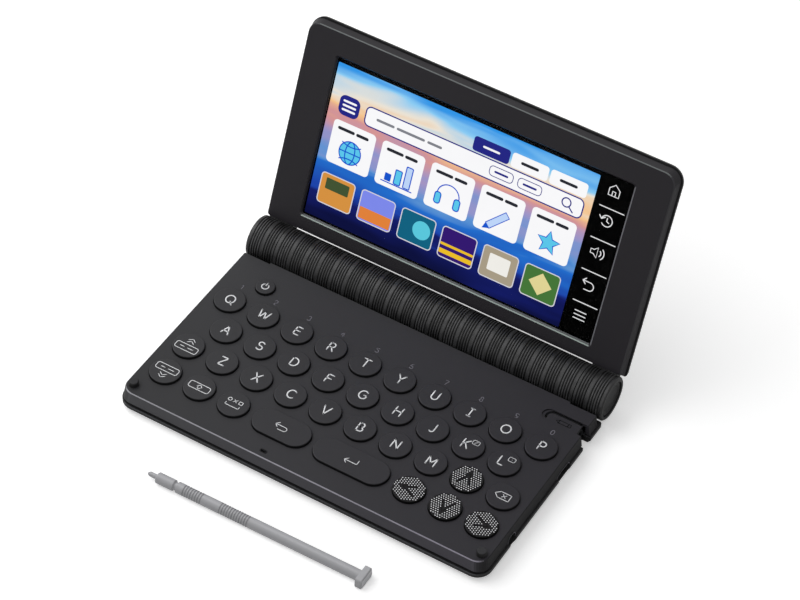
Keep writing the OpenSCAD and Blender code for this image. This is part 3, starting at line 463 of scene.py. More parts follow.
# Painted highlight on every second group of ridges.
along = put(tree, "ShaderNodeSeparateXYZ", {0: where}).outputs["X"]
folded = calc(tree, "PINGPONG", along, GROUP_PITCH * MM)
ridge_highlight = remap(tree, folded, (1.7 * MM, 1.9 * MM), (1.7, 1.0))
shaded = times(tree, shaded, ridge_highlight)
to_surface(tree, put(tree, "ShaderNodeBsdfPrincipled", {
    "Base Color": shaded, "Roughness": skin["Roughness"], "Specular IOR Level": 0.4,
    "Normal": bump(tree, 0.25, 0.03 * MM, streak)}))
dress(barrel, "barrel_sleeve", "hinge_knuckles", "battery_cover")

# %% [markdown]
# ## Rubber, metal and the inside
# The feet and bumpers are matt rubber, and so is the key sheet under the deck, in a milky silicone.
# Metal shows as screw heads and, with the battery cover off, as contacts. It is brushed: a noise
# stretched one way varies the roughness.

# %% Small parts of rubber and plastic
for name, shades, roughness, specular, more, parts in (
    ("rubber", (20, 20, 21), 0.75, 0.3, dict(size=0.3, relief=0.3), ["rubber_feet"]),
    ("bumper_rubber", (42, 42, 44), 0.7, 0.3, dict(size=0.3, relief=0.3, painted_light_and_shade=[KEY_WALL_SHADE]), ["lid_bumpers"]),
    ("milky_silicone", (170, 172, 170), 0.5, 0.4, dict(size=0.3), ["key_sheet"]),
    ("inner_plastic", (45, 46, 48), 0.5, 0.4, dict(size=0.3), ["stylus_tube", "speaker"]),
    ("panel_black", (9, 9, 10), 0.5, 0.05, dict(size=0.1, relief=0.02, spread=0.03), ["display_panel"]),
    ("cell_jacket", (60, 84, 112), 0.3, 0.5, dict(size=0.4, relief=0.05), ["cells"]),
    ("board_lacquer", (18, 66, 44), 0.35, 0.5, dict(size=0.5, relief=0.2, spread=0.3, cloud=3), ["main_board"]),
):
    dress(plastic(name, tone(*shades), roughness, specular, **more), *parts)

# %% Stylus
RIBS_FROM_TIP, RIBS_HALF = 29, 17
ribs = (X, 1000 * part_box("stylus")[0].x + RIBS_FROM_TIP, RIBS_HALF, 1)
# Painted light on the stylus's top and its end, and painted shade on its front, its back and the walls of its ribs.
STYLUS_LIGHT_AND_SHADE = [
    (1.12, ((0, 0.2, 0.98), 0.7, 0.95)),
    (0.78, ((0, -1, 0), 0.2, 0.9)),
    (0.6, ((0, 1, 0), 0.6, 0.9)),
    (1.7, (X, 0.7, 0.9)),
    *((0.75, (X * side, 0.25, 0.5), ribs) for side in (-1, 1)),
]
dress(plastic("stylus_plastic", tone(166, 166, 169), 0.38, 0.45, size=0.15, relief=0.1, spread=0.06,
              painted_light_and_shade=STYLUS_LIGHT_AND_SHADE), "stylus")

# %% Brushed metal
def brushed(name, colour, roughness):
    """Metal with fine lines."""
    made, tree = blank(name)
    squeezed = put(tree, "ShaderNodeMapping", {"Vector": object_coords(tree), "Scale": (1.0, 12.0, 1.0)})
    lines = noise(tree, squeezed, 900.0, 3.0)
    to_surface(tree, put(tree, "ShaderNodeBsdfPrincipled", {
        "Base Color": times(tree, colour[:3], remap(tree, lines, target=(0.85, 1.1))),
        "Roughness": remap(tree, lines, target=(roughness - 0.1, roughness + 0.15)),
        "Metallic": 1.0, "Normal": bump(tree, 0.2, 0.02 * MM, lines)}))
    return made


dress(brushed("steel", tone(150, 152, 156), 0.3), "case_screws", "hinge_pins")
dress(brushed("nickel", tone(205, 200, 190), 0.22), "battery_contacts")

# %% [markdown]
# ## Glass
# The pane lets shadow rays and diffuse rays pass straight, so what lies behind it is lit without
# noise. Its index is 1.003, far below the 1.5 of real glass, and so it hardly reflects. Already 1.06
# left light specks on the black beside the picture. A picture in which the glass should gleam wants
# the real index and more samples.

# %% Touch glass
GLASS_INDEX = 1.003

glass, tree = blank("touch_glass")
wiped = place_group(tree, grain, (4, 30, 0.03, 0.003, 0.004))
pane = put(tree, "ShaderNodeBsdfPrincipled", {
    "Base Color": times(tree, (0.98, 0.98, 0.98), wiped["Shade"]),
    "Roughness": wiped["Roughness"], "IOR": GLASS_INDEX, "Transmission Weight": 1.0})
rays = put(tree, "ShaderNodeLightPath").outputs
to_surface(tree, put(tree, "ShaderNodeMixShader", {
    0: calc(tree, "MAXIMUM", rays["Is Shadow Ray"], rays["Is Diffuse Ray"]),
    1: pane, 2: put(tree, "ShaderNodeBsdfTransparent")}))
dress(glass, "touch_glass")

# %% [markdown]
# ## Printed strokes
# The signs on the keys are thin lines of even width with round ends. Each one is drawn as a bare
# wire: points joined by edges. A Geometry Nodes tree gives the wires their body: it sweeps a flat
# profile along them and sets a small disc on every loose end. One tree with a width, a thickness and
# an ink then serves every letter, digit and sign.

# %% Helpers for Geometry Nodes
def node_tree(name, numbers):
    """A geometry tree with a geometry in and out, named numbers with defaults, and an ink."""
    made = bpy.data.node_groups.new(name, "GeometryNodeTree")
    for way in ("INPUT", "OUTPUT"):
        made.interface.new_socket("Geometry", in_out=way, socket_type="NodeSocketGeometry")
    for label, value in numbers.items():
        made.interface.new_socket(label, in_out="INPUT", socket_type="NodeSocketFloat").default_value = value
    made.interface.new_socket("Ink", in_out="INPUT", socket_type="NodeSocketMaterial")
    return made, put(made, "NodeGroupInput").outputs, put(made, "NodeGroupOutput").inputs[0]


def grown(name, mesh, tree, values, place):
    """Runs a tree on a mesh, keeps the result as a plain mesh, and lays it in its place."""
    thing = add(name, mesh)
    modifier = thing.modifiers.new("grow", "NODES")
    modifier.node_group = tree
    for socket in tree.interface.items_tree:
        if socket.in_out == "INPUT" and socket.name in values:
            modifier[socket.identifier] = values[socket.name]
    ready = thing.evaluated_get(bpy.context.evaluated_depsgraph_get())
    plain = bpy.data.meshes.new_from_object(ready)
    thing.modifiers.clear()
    plain.transform(place)
    thing.data = plain
    return thing


# %% The tree for strokes
stroke_tree, given, out = node_tree("printed_strokes", {"Width": 0.4, "Thickness": 0.02})
wires = put(stroke_tree, "GeometryNodeMeshToCurve", {"Mesh": given["Geometry"]})
flat = put(stroke_tree, "GeometryNodeSetCurveNormal", {"Curve": wires}, mode="Z_UP")
section = put(stroke_tree, "GeometryNodeCurvePrimitiveQuadrilateral", {
    "Width": given["Width"], "Height": given["Thickness"]})
ribbon = put(stroke_tree, "GeometryNodeCurveToMesh", {
    "Curve": flat, "Profile Curve": section, "Fill Caps": True})
neighbours = put(stroke_tree, "GeometryNodeInputMeshVertexNeighbors").outputs["Vertex Count"]
loose = put(stroke_tree, "FunctionNodeCompare", {2: neighbours, 3: 1}, data_type="INT", operation="EQUAL")
disc = put(stroke_tree, "GeometryNodeMeshCylinder", {
    "Vertices": 12, "Radius": calc(stroke_tree, "MULTIPLY", given["Width"], 0.5), "Depth": given["Thickness"]})
ends = put(stroke_tree, "GeometryNodeInstanceOnPoints", {
    "Points": given["Geometry"], "Selection": loose, "Instance": disc.outputs["Mesh"]})
real = put(stroke_tree, "GeometryNodeRealizeInstances", {"Geometry": ends})
whole = put(stroke_tree, "GeometryNodeJoinGeometry")
for part in (ribbon, real):
    stroke_tree.links.new(part.outputs[0], whole.inputs[0])
inked = put(stroke_tree, "GeometryNodeSetMaterial", {"Geometry": whole, "Material": given["Ink"]})
stroke_tree.links.new(inked.outputs[0], out)

# %% Wires from lists of points
def arc(x, y, rx, ry, start, end, steps=14):
    """Points along an ellipse, from one angle in degrees to another."""
    turns = [radians(start + (end - start) * i / steps) for i in range(steps + 1)]
    return [(x + rx * cos(t), y + ry * sin(t)) for t in turns]


def moved(x, y, strokes):
    """Strokes that were drawn about (0, 0), about (x, y)."""
    return [[(x + a, y + b) for a, b in stroke] for stroke in strokes]


def wire(strokes, size=1.0, at=(0, 0)):
    """A mesh of edges. A stroke that ends where it began is closed."""
    points, edges = [], []
    for stroke in strokes:
        closed = dist(stroke[0], stroke[-1]) < 1e-6
        first, count = len(points), len(stroke) - closed
        points += [(at[0] + size * x, at[1] + size * y, 0) for x, y in stroke[:count]]
        edges += [(first + i, first + i + 1) for i in range(count - 1)]
        edges += [(first + count - 1, first)] * closed
    mesh = bpy.data.meshes.new("wire")
    mesh.from_pydata(points, edges, [])
    return mesh


def ink_strokes(name, mesh, body, board, at, ink, width, thickness=0.02):
    """Prints a wire on a board at (x, y, z) in millimetres, as print or as a line of painted light or shade. The piece
    rides on a body.
    """
    place = board @ Matrix.Translation((at[0], at[1], at[2] + thickness / 2))
    piece = grown(name, mesh, stroke_tree, {"Width": width, "Thickness": thickness, "Ink": ink}, place)
    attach(piece, body)


# %% [markdown]
# ## Ink
# Pad-printed ink lies in a thin, slightly uneven film. Where it is thinner the dark plastic shows
# through, so its shade varies with the same grain as the plastic, and it is a little smoother.

# %% Inks
def ink(name, colour, spread=0.25, specular=0.3):
    """Printed ink of a colour."""
    return plastic(name, colour, 0.4, specular, size=0.25, relief=0.1, spread=spread, cloud=3)


white_ink = ink("white_ink", tone(238, 239, 241))
# Grey ink prints the digits, and the same material paints highlights round the openings in the right wall.
grey_ink_and_highlight = ink("grey_ink_and_highlight", tone(112, 110, 118), 0.4)
# Black ink prints the pen and the chevrons, and the same material paints shade in the recess, round the microphone's
# slot and in the seams of the caps.
black_ink_and_shade = ink("black_ink_and_shade", tone(9, 9, 10), specular=0.08)

# %% [markdown]
# ## The alphabet
# A font would bring somebody's letters. Twenty-six plain capitals and ten digits are quickly drawn
# in lines and arcs, one unit high and centred. Sharp corners are drawn as separate strokes, because
# the round ends then close them neatly.

# %% Capitals
def bent(*points):
    """One stroke for each stretch of a line with sharp corners."""
    return [[start, end] for start, end in zip(points, points[1:])]


def bowl(left, x, y, rx, ry):
    """The round side of a B, D, P or R."""
    return [(left, y + ry), (x, y + ry), *arc(x, y, rx, ry, 90, -90), (left, y - ry)]


LETTERS = {
    "A": [*bent((-.36, -.5), (0, .5), (.36, -.5)), [(-.25, -.18), (.25, -.18)]],
    "B": [[(-.28, -.5), (-.28, .5)], bowl(-.28, .0, .255, .24, .245), bowl(-.28, .02, -.245, .28, .255)],
    "C": [arc(.06, 0, .42, .5, 50, 310)],
    "D": [[(-.32, -.5), (-.32, .5)], bowl(-.32, -.06, 0, .42, .5)],
    "E": [*bent((-.25, -.5), (-.25, .5), (.27, .5)), [(-.25, .02), (.22, .02)], [(-.25, -.5), (.27, -.5)]],
    "F": [*bent((-.23, -.5), (-.23, .5), (.29, .5)), [(-.23, .0), (.22, .0)]],
    "G": [[*arc(0, 0, .42, .5, 50, 322), (.36, -.02)], [(.36, -.02), (.08, -.02)]],
    "H": [[(-.33, -.5), (-.33, .5)], [(.33, -.5), (.33, .5)], [(-.33, .01), (.33, .01)]],
    "I": [[(0, -.5), (0, .5)], [(-.17, .5), (.17, .5)], [(-.17, -.5), (.17, -.5)]],
    "J": [[(.16, .5), (.16, -.26), *arc(-.07, -.26, .23, .24, 0, -130)]],
    "K": [[(-.28, -.5), (-.28, .5)], [(-.28, -.12), (.3, .5)], [(-.07, .1), (.34, -.5)]],
    "L": bent((-.22, .5), (-.22, -.5), (.27, -.5)),
    "M": bent((-.4, -.5), (-.4, .5), (0, -.22), (.4, .5), (.4, -.5)),
    "N": bent((-.33, -.5), (-.33, .5), (.33, -.5), (.33, .5)),
    "O": [arc(0, 0, .45, .5, 0, 360, 24)],
    "P": [[(-.26, -.5), (-.26, .5)], bowl(-.26, .02, .21, .28, .29)],
    "Q": [arc(0, 0, .45, .5, 0, 360, 24), [(.12, -.26), (.42, -.62)]],
    "R": [[(-.27, -.5), (-.27, .5)], bowl(-.27, .0, .23, .27, .27), [(.02, -.04), (.32, -.5)]],
    "S": [[*arc(0, .25, .27, .25, 35, 270), *arc(0, -.25, .3, .25, 90, -145)]],
    "T": [[(-.36, .5), (.36, .5)], [(0, .5), (0, -.5)]],
    "U": [[(-.32, .5), (-.32, -.17), *arc(0, -.17, .32, .33, 180, 360), (.32, .5)]],
    "V": bent((-.37, .5), (0, -.5), (.37, .5)),
    "W": bent((-.52, .5), (-.27, -.5), (0, .42), (.27, -.5), (.52, .5)),
    "X": [[(-.33, .5), (.33, -.5)], [(.33, .5), (-.33, -.5)]],
    "Y": [[(-.35, .5), (0, .0)], [(.35, .5), (0, .0)], [(0, .0), (0, -.5)]],
    "Z": bent((-.32, .5), (.32, .5), (-.32, -.5), (.32, -.5)),
}

# %% Digits
DIGITS = {
    "1": bent((-.16, .34), (.04, .5), (.04, -.5)),
    "2": [[*arc(0, .22, .27, .28, 165, -35), (-.28, -.5)], [(-.28, -.5), (.3, -.5)]],
    "3": [arc(0, .25, .25, .25, 150, -90), arc(0, -.25, .29, .25, 90, -150)],
    "4": bent((.14, -.5), (.14, .5), (-.32, -.22), (.32, -.22)),
    "5": [*bent((.24, .5), (-.2, .5), (-.25, .04)), [(-.25, .04), *arc(-.02, -.18, .3, .32, 120, -150)]],
    "6": [arc(0, -.2, .28, .3, 0, 360, 18), [(-.28, -.2), *arc(.12, -.05, .4, .55, 170, 95, 6)]],
    "7": bent((-.29, .5), (.29, .5), (-.1, -.5)),
    "8": [arc(0, .26, .23, .24, 0, 360, 18), arc(0, -.25, .28, .25, 0, 360, 18)],
    "9": [arc(0, .2, .28, .3, 0, 360, 18), [(.28, .2), *arc(-.12, .05, .4, .55, -10, -85, 6)]],
    "0": [arc(0, 0, .28, .5, 0, 360, 20)],
}

# %% [markdown]
# ## Signs on the command keys
# The command keys carry plain signs: a bent arrow for enter, a turned arrow for back, a box with a
# cross for delete, a bar for space. They are drawn in millimetres.

# %% Signs
def box_outline(x, y, width, height, corner, steps=5):
    """A closed outline with round corners, about (x, y)."""
    a, b = width / 2 - corner, height / 2 - corner
    corners = ((a, b, 0), (-a, b, 90), (-a, -b, 180), (a, -b, 270))
    outline = [p for cx, cy, start in corners for p in arc(x + cx, y + cy, corner, corner, start, start + 90, steps)]
    return outline + outline[:1]


def chevrons(y, half, rise, gap):
    """Two nested chevrons. A negative rise points them down."""
    return [[(s * half, y + k * gap), (0, y + k * gap + rise)] for k in (0, 1) for s in (-1, 1)]


def word_box(y):
    """A box with two bars in it, which stand for a word."""
    return [box_outline(0, y, 8.8, 2.9, .8), [(-2.6, y), (-1.0, y)], [(.4, y), (2.6, y)]]


SIGNS = {
    "power": [arc(0, -.1, 1.3, 1.3, 125, 415, 20), [(0, .45), (0, 1.65)]],
    "previous": word_box(-1.35) + chevrons(1.1, 1.35, 1.0, 1.15),
    "next": word_box(1.2) + chevrons(-1.3, 1.35, -1.0, -1.15),
    "shift": [box_outline(0, 0, 8.2, 2.9, .8), *bent((-1.1, 0), (0, .95), (1.1, 0)), [(-1.1, 0), (-.5, 0)],
              [(1.1, 0), (.5, 0)], [(-.5, 0), (-.5, -.85)], [(.5, 0), (.5, -.85)], [(-.5, -.85), (.5, -.85)]],
    "space": [*bent((-2.7, -.5), (-2.7, -1.5), (2.7, -1.5), (2.7, -.5)), arc(-2.2, 1.3, .7, .7, 0, 360, 14),
              [(-.6, .7), (.6, 1.9)], [(-.6, 1.9), (.6, .7)], box_outline(2.2, 1.3, 1.3, 1.3, .15, 2)],
    "back": [[(-2.6, .35), (-1.4, 1.45)], [(-2.6, .35), (-1.4, -.75)],
             [(-2.6, .35), (1.4, .35), *arc(1.4, -.6, .95, .95, 90, -90), (-.8, -1.55)]],
    "enter": [*bent((2.5, 1.3), (2.5, -.6), (-2.5, -.6), (-1.3, .5)), [(-2.5, -.6), (-1.3, -1.7)]],
    "delete": [*bent((-3.0, 0), (-1.4, 1.45), (2.7, 1.45), (2.7, -1.45), (-1.4, -1.45), (-3.0, 0)),
               [(-.2, .65), (1.2, -.65)], [(-.2, -.65), (1.2, .65)]],
}

# %% Print the keys
LETTER_SIZE, LETTER_LINE, SIGN_LINE, POWER_LINE, SMALL_LINE = 3.8, 0.5, 0.28, 0.42, 0.2


def print_key(kind, key, mesh, line):
    """White print on the top of a key."""
    body = "key_" + key
    ink_strokes(kind + key, mesh, body, DECK, key_place(body), white_ink, line)


for letter, strokes in LETTERS.items():
    shift = -1.2 if letter in "KL" else 0.15
    print_key("legend_", letter.lower(), wire(strokes, LETTER_SIZE, (shift, 0.25)), LETTER_LINE)
for sign, strokes in SIGNS.items():
    print_key("legend_", sign, wire(strokes), POWER_LINE if sign == "power" else SIGN_LINE)
for letter, mark in (("k", [(1.3, 1.9), (2.3, 2.9)]), ("l", [(1.75, 2.35), (1.85, 2.35)])):
    small = [box_outline(1.8, 2.35, 2.5, 1.9, .45), mark]
    print_key("small_sign_", letter, wire(small), SMALL_LINE)
print("signs:", len(LETTERS) + len(SIGNS) + 2)

# %% Digits on the deck
DIGIT_SIZE, DIGIT_SHIFT, DIGIT_LINE = 2.1, (-.1, 8.45), 0.32
deck_z = (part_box("upper_case")[1].z - AXIS.z) / MM


def print_deck(name, strokes, at, ink, line, size=1.0, shift=(0, 0)):
    """Print on the deck, at (x, y, z), also used for lines of painted shade."""
    ink_strokes(name, wire(strokes, size, shift), "base", DECK, at, ink, line)


for digit, key in zip("1234567890", "qwertyuiop"):
    middle = key_place("key_" + key)
    print_deck("deck_digit_" + digit, DIGITS[digit], (middle.x, middle.y, deck_z), grey_ink_and_highlight, DIGIT_LINE,
               DIGIT_SIZE, DIGIT_SHIFT)

# %% [markdown]
# A shallow recess beside the stylus's tube shows where the stylus goes in. A dark line of painted
# shadow lies on its floor along its wall, and a small pen is printed on its floor.

# %% The recess
recess_floor = (0, 0, deck_z - 0.5)
# Painted shadow: a dark line on the recess's floor along its upper wall and left end.
corner = [[*arc(60.2, -18.4, 2.3, 2.3, 205, 90, 8), (70.6, -16.1)]]
pen_outline = [(61.9, -18.9), (63.2, -18.2), (67.8, -18.2), (67.8, -19.6), (63.2, -19.6), (61.9, -18.9)]
pen_bands = [[(x, -18.2), (x, -19.6)] for x in (63.2, 66.8)]
print_deck("recess_corner_shadow", corner, recess_floor, black_ink_and_shade, 0.95)
print_deck("recess_pen", [pen_outline, *pen_bands], recess_floor, black_ink_and_shade, 0.32)

# %% [markdown]
# The edges of openings and seams are too fine to catch the light here, so their light and shade is
# painted as lines: painted highlights round the two openings in the right wall, and painted shade
# round the slot of the microphone and in the seam of each cap of the barrel. The wall and the caps get
# boards of their own, turned to face sideways.

# %% Edges of openings and seams
QUARTER = pi / 2
wall_x = 1000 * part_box("upper_case")[1].x
side_board = (DECK @ Matrix.Translation((wall_x, 0, 0))
              @ Matrix.Rotation(QUARTER, 4, "Z") @ Matrix.Rotation(QUARTER, 4, "X"))
OPENINGS = {  # way to the front, half the straight part, radius, height, first angle
    "port": (34.4, 2.65, 1.85, -5.5, 12),
    "jack": (70.3, 0, 2.55, -4.9, 0),
}
# Painted highlights round the openings.
for sign, (front, half, radius, height, low) in OPENINGS.items():
    line = arc(half - front, height, radius, radius, low, 90)
    line += arc(-half - front, height, radius, radius, 90, 180 - low)
    ink_strokes("highlight_round_" + sign, wire([line]), "base", side_board, (0, 0, 0), grey_ink_and_highlight, 0.3)
# Painted shade round the microphone's slot.
print_deck("slot_edge_shade", [box_outline(-15.6, -86.4, 2.7, 1.2, 0.6)], (0, 0, deck_z), black_ink_and_shade, 0.3)

SEAM_RADIUS, SEAM_LINE = 6.6, 0.6
cap_face = 1000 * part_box("knuckle_caps")[1].x
# Painted shade in the seam round each cap.
for side, turn in (("left", -1), ("right", 1)):
    seam = wire([arc(0, 0, SEAM_RADIUS, SEAM_RADIUS, 0, 360, 48)])
    cap_board = DECK @ Matrix.Rotation(turn * QUARTER, 4, "Y")
    ink_strokes("cap_seam_shade_" + side, seam, "lid", cap_board, (0, 0, cap_face), black_ink_and_shade, SEAM_LINE)
print("right wall at", round(wall_x, 2), "mm, caps at", round(cap_face, 2))

# %% [markdown]
# ## Dotted arrow keys
# The four arrow keys are covered with light dots in staggered rows, with a chevron left free. This is
# work for Geometry Nodes: a grid of points, every second row moved by half a step, the points outside
# the key and on the chevron taken away, and one small disc on each of the rest. The same tree, turned
# by quarter turns, prints all four.

# %% The tree for dots
CHEVRON_TOP, CHEVRON_REACH, CHEVRON_FALL, CHEVRON_HALF = 2.6, 2.2, 2.1, 1.05
DOT_DEPTH = 0.02
dot_tree, given, out = node_tree("dotted_face", {
    "Radius": 5.42, "Pitch": 0.88, "Dot": 0.22, "Chevron top": CHEVRON_TOP, "Chevron reach": CHEVRON_REACH,
    "Turn": 0.0})


def number(operation, *values):
    """The result of a Math node in the dot tree."""
    return calc(dot_tree, operation, *values)


def position():
    """Where a point of the dot tree lies: x, y and z."""
    return put(dot_tree, "ShaderNodeSeparateXYZ", {0: put(dot_tree, "GeometryNodeInputPosition")}).outputs


steps = number("MULTIPLY", number("CEIL", number("DIVIDE", given["Radius"], given["Pitch"])), 2.0)
count = number("ADD", steps, 1.0)
side = number("MULTIPLY", steps, given["Pitch"])
grid = put(dot_tree, "GeometryNodeMeshGrid", {"Size X": side, "Vertices X": count, "Size Y": side, "Vertices Y": count})
row = number("ROUND", number("DIVIDE", position()["Y"], given["Pitch"]))
half = number("MULTIPLY", number("FLOORED_MODULO", row, 2.0), number("MULTIPLY", given["Pitch"], 0.5))
staggered = put(dot_tree, "GeometryNodeSetPosition", {
    "Geometry": grid.outputs["Mesh"], "Offset": put(dot_tree, "ShaderNodeCombineXYZ", {"X": half})})
place = position()
across = number("ABSOLUTE", place["X"])
squares = number("ADD", number("POWER", across, 2.0), number("POWER", place["Y"], 2.0))
beyond = number("GREATER_THAN", number("SQRT", squares), given["Radius"])
fallen = number("ADD", place["Y"], number("MULTIPLY", across, CHEVRON_FALL))
arm = number("ABSOLUTE", number("SUBTRACT", fallen, given["Chevron top"]))
chevron = number(
    "MULTIPLY", number("LESS_THAN", arm, CHEVRON_HALF), number("LESS_THAN", across, given["Chevron reach"]))
kept = put(dot_tree, "GeometryNodeDeleteGeometry", {
    "Geometry": staggered, "Selection": number("ADD", beyond, chevron)}, domain="POINT")
dot = put(dot_tree, "GeometryNodeMeshCylinder", {"Vertices": 8, "Radius": given["Dot"], "Depth": DOT_DEPTH})
spread = put(dot_tree, "GeometryNodeInstanceOnPoints", {"Points": kept, "Instance": dot.outputs["Mesh"]})
turned = put(dot_tree, "GeometryNodeTransform", {
    "Geometry": put(dot_tree, "GeometryNodeRealizeInstances", {"Geometry": spread}),
    "Rotation": put(dot_tree, "ShaderNodeCombineXYZ", {"Z": given["Turn"]})})
inked = put(dot_tree, "GeometryNodeSetMaterial", {"Geometry": turned, "Material": given["Ink"]})
dot_tree.links.new(inked.outputs[0], out)

# %% Print the arrow keys
dot_ink = ink("dot_ink", tone(238, 238, 240), 0.2)
chevron_line = [(-CHEVRON_REACH, -2.0), (0, CHEVRON_TOP), (CHEVRON_REACH, -2.0)]
for quarter, side_name in enumerate(("up", "left", "down", "right")):
    key = "key_arrow_" + side_name
    raised_top = Matrix.Translation(key_place(key) + Vector((0, 0, DOT_DEPTH / 2)))
    dots = grown("dots_" + side_name, bpy.data.meshes.new("empty"), dot_tree,
                 {"Turn": quarter * QUARTER, "Ink": dot_ink}, DECK @ raised_top)
    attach(dots, key)
    turned_key = DECK @ Matrix.Translation(key_place(key)) @ Matrix.Rotation(quarter * QUARTER, 4, "Z")
    ink_strokes("chevron_" + side_name, wire([chevron_line]), key, turned_key, (0, 0, 0.02), black_ink_and_shade, 0.45)
    print(side_name, "arrow:", len(dots.data.polygons) // 10, "dots")

# %% [markdown]
# ## The picture behind the glass
# The display lights itself, so its finish gives light instead of taking it. The picture is built as a
# screen is: a soft coloured ground, white cards on it, and signs on the cards, each a printed film a
# hundredth of a millimetre above the last, all in the thin gap between the panel and the glass. The
# arrangement and the signs are made up: a search field, five cards and six small tiles.

# %% Flat films on the lid
LEFT, RIGHT, LOW, HIGH = -59.8, 46.0, 14.89, 75.79
HALF_GLASS, FILM = 0.35, 0.004
pane_mid = LID.inverted() @ ((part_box("touch_glass")[0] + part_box("touch_glass")[1]) / 2)
GLASS_BACK = pane_mid.z - HALF_GLASS
PICTURE, CARD, FILL, SIGN = (GLASS_BACK - gap for gap in (0.046, 0.035, 0.024, 0.013))
print("glass's back at", round(GLASS_BACK, 3), "mm on the lid's board")


def film(name, outlines, material, height):
    """Flat closed plates from outlines in millimetres, on the lid's board, riding on the lid."""
    points, faces = [], []
    for outline in outlines:
        count, first = len(outline), len(points)
        points += [(x, y, FILM) for x, y in outline] + [(x, y, 0) for x, y in outline]
        faces.append(tuple(range(first, first + count)))
        faces.append(tuple(reversed(range(first + count, first + 2 * count))))
        for i in range(count):
            j = (i + 1) % count
            faces.append((first + j, first + i, first + count + i, first + count + j))
    mesh = bpy.data.meshes.new(name)
    mesh.from_pydata(points, [], faces)
    mesh.transform(LID @ Matrix.Translation((0, 0, height)))
    mesh.materials.append(material)
    piece = add(name, mesh)
    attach(piece, "lid")
    return piece


def rounded(x, y, width, height, corner):
    """The outline of a card, without the closing point."""
    return box_outline(x, y, width, height, corner, 6)[:-1]


def lid_strokes(name, strokes, ink_used, width, height=SIGN):
    """Prints a wire on the lid's board."""
    ink_strokes(name, wire(strokes), "lid", LID, (0, 0, height), ink_used, width, FILM)


def bars(y, *spans):
    """Level strokes, each from one x to another."""
    return [[(start, y), (end, y)] for start, end in spans]


# %% Lit colours
def shine(tree, colour, values=()):
    """Ends a material's tree with a black surface that shines in a colour."""
    to_surface(tree, put(tree, "ShaderNodeBsdfPrincipled", {
        "Base Color": (0.0, 0.0, 0.0, 1), "Specular IOR Level": 0.0, "Emission Color": colour,
        "Emission Strength": 1.0, **dict(values)}))


def lit(name, *shades):
    """A film that shines in a screen colour. Fine cells of the display make it uneven."""
    made, tree = blank(name)
    cell = place_group(tree, grain, (0.12, 25, 0.05, 0.4, 0.05))
    colour = times(tree, tone(*shades)[:3], cell["Shade"])
    shine(tree, colour, {"Roughness": cell["Roughness"]})
    return made


# %% [markdown]
# The ground is a sky over rolling waves. A colour ramp runs up the picture. Before the ramp reads the
# height, slow noise bends it into long waves, so the bands of colour swing like dunes. The film has
# its own UV map, from 0 to 1 across and up the picture.

# %% Picture ground
WAVE_HEIGHT, WAVE_SHIFT = 0.34, 0.17
STOPS = (
    (0.0, (14, 18, 62)), (0.16, (22, 30, 104)), (0.20, (30, 66, 168)), (0.36, (36, 110, 205)),
    (0.40, (92, 148, 212)), (0.55, (160, 150, 200)), (0.66, (214, 150, 150)), (0.74, (246, 196, 140)),
    (0.82, (236, 228, 214)), (0.90, (140, 205, 245)), (1.0, (52, 150, 232)))

ground, tree = blank("picture_ground")
across_up = put(tree, "ShaderNodeUVMap", uv_map="picture")
parts = put(tree, "ShaderNodeSeparateXYZ", {0: across_up}).outputs
stretched = put(tree, "ShaderNodeMapping", {"Vector": across_up, "Rotation": (0, 0, -0.18), "Scale": (1.6, 5.5, 1.0)})
swell = noise(tree, stretched, 1.3, 2.0, Distortion=0.6)
bent_height = calc(tree, "MULTIPLY_ADD", swell, WAVE_HEIGHT, parts["Y"])
ramp = put(tree, "ShaderNodeValToRGB", {"Fac": calc(tree, "SUBTRACT", bent_height, WAVE_SHIFT)})
for place, shades in STOPS[1:-1]:
    ramp.color_ramp.elements.new(place)
for element, (place, shades) in zip(ramp.color_ramp.elements, STOPS):
    element.position = place
    element.color = tone(*shades)
shine(tree, ramp.outputs["Color"])

# %% The picture and its map
middle = ((LEFT + RIGHT) / 2, (LOW + HIGH) / 2)
wide, tall = RIGHT - LEFT, HIGH - LOW
picture = film("screen_ground", [rounded(*middle, wide, tall, 0.4)], ground, PICTURE)
layer = picture.data.uv_layers.new(name="picture")
flat_view = LID.inverted()
for loop in picture.data.loops:
    point = flat_view @ picture.data.vertices[loop.vertex_index].co
    layer.data[loop.index].uv = ((point.x - LEFT) / wide, (point.y - LOW) / tall)
print("picture", round(wide, 1), "x", round(tall, 1), "mm")

# %% White cards
white_light = lit("card_white", 250, 250, 252)
navy_light = lit("line_navy", 38, 40, 132)
blue_light = lit("sign_blue", 24, 84, 205)
cyan_light = lit("sign_cyan", 92, 200, 236)
pale_light = lit("sign_pale", 190, 214, 250)
grey_light = lit("word_grey", 128, 130, 138)
dark_light = lit("word_dark", 40, 42, 50)

CARDS = [-47.6 + 20.4 * i for i in range(5)]
SEARCH_ROW, SEARCH = 60.7, (-1.0, 60.7, 88.0, 7.4, 2.0)
TAB_ROW, TAB_SIZE, TABS = 67.9, (14.6, 5.6, 1.2), (20.2, 35.6)
cards = [rounded(x, 46.2, 17.6, 17.0, 1.6) for x in CARDS]
cards += [rounded(*SEARCH)] + [rounded(x, TAB_ROW, *TAB_SIZE) for x in TABS]
film("screen_cards", cards, white_light, CARD)
film("screen_tab", [rounded(4.8, TAB_ROW, *TAB_SIZE), rounded(-51.9, 60.9, 8.4, 7.8, 2.4)], navy_light, CARD)

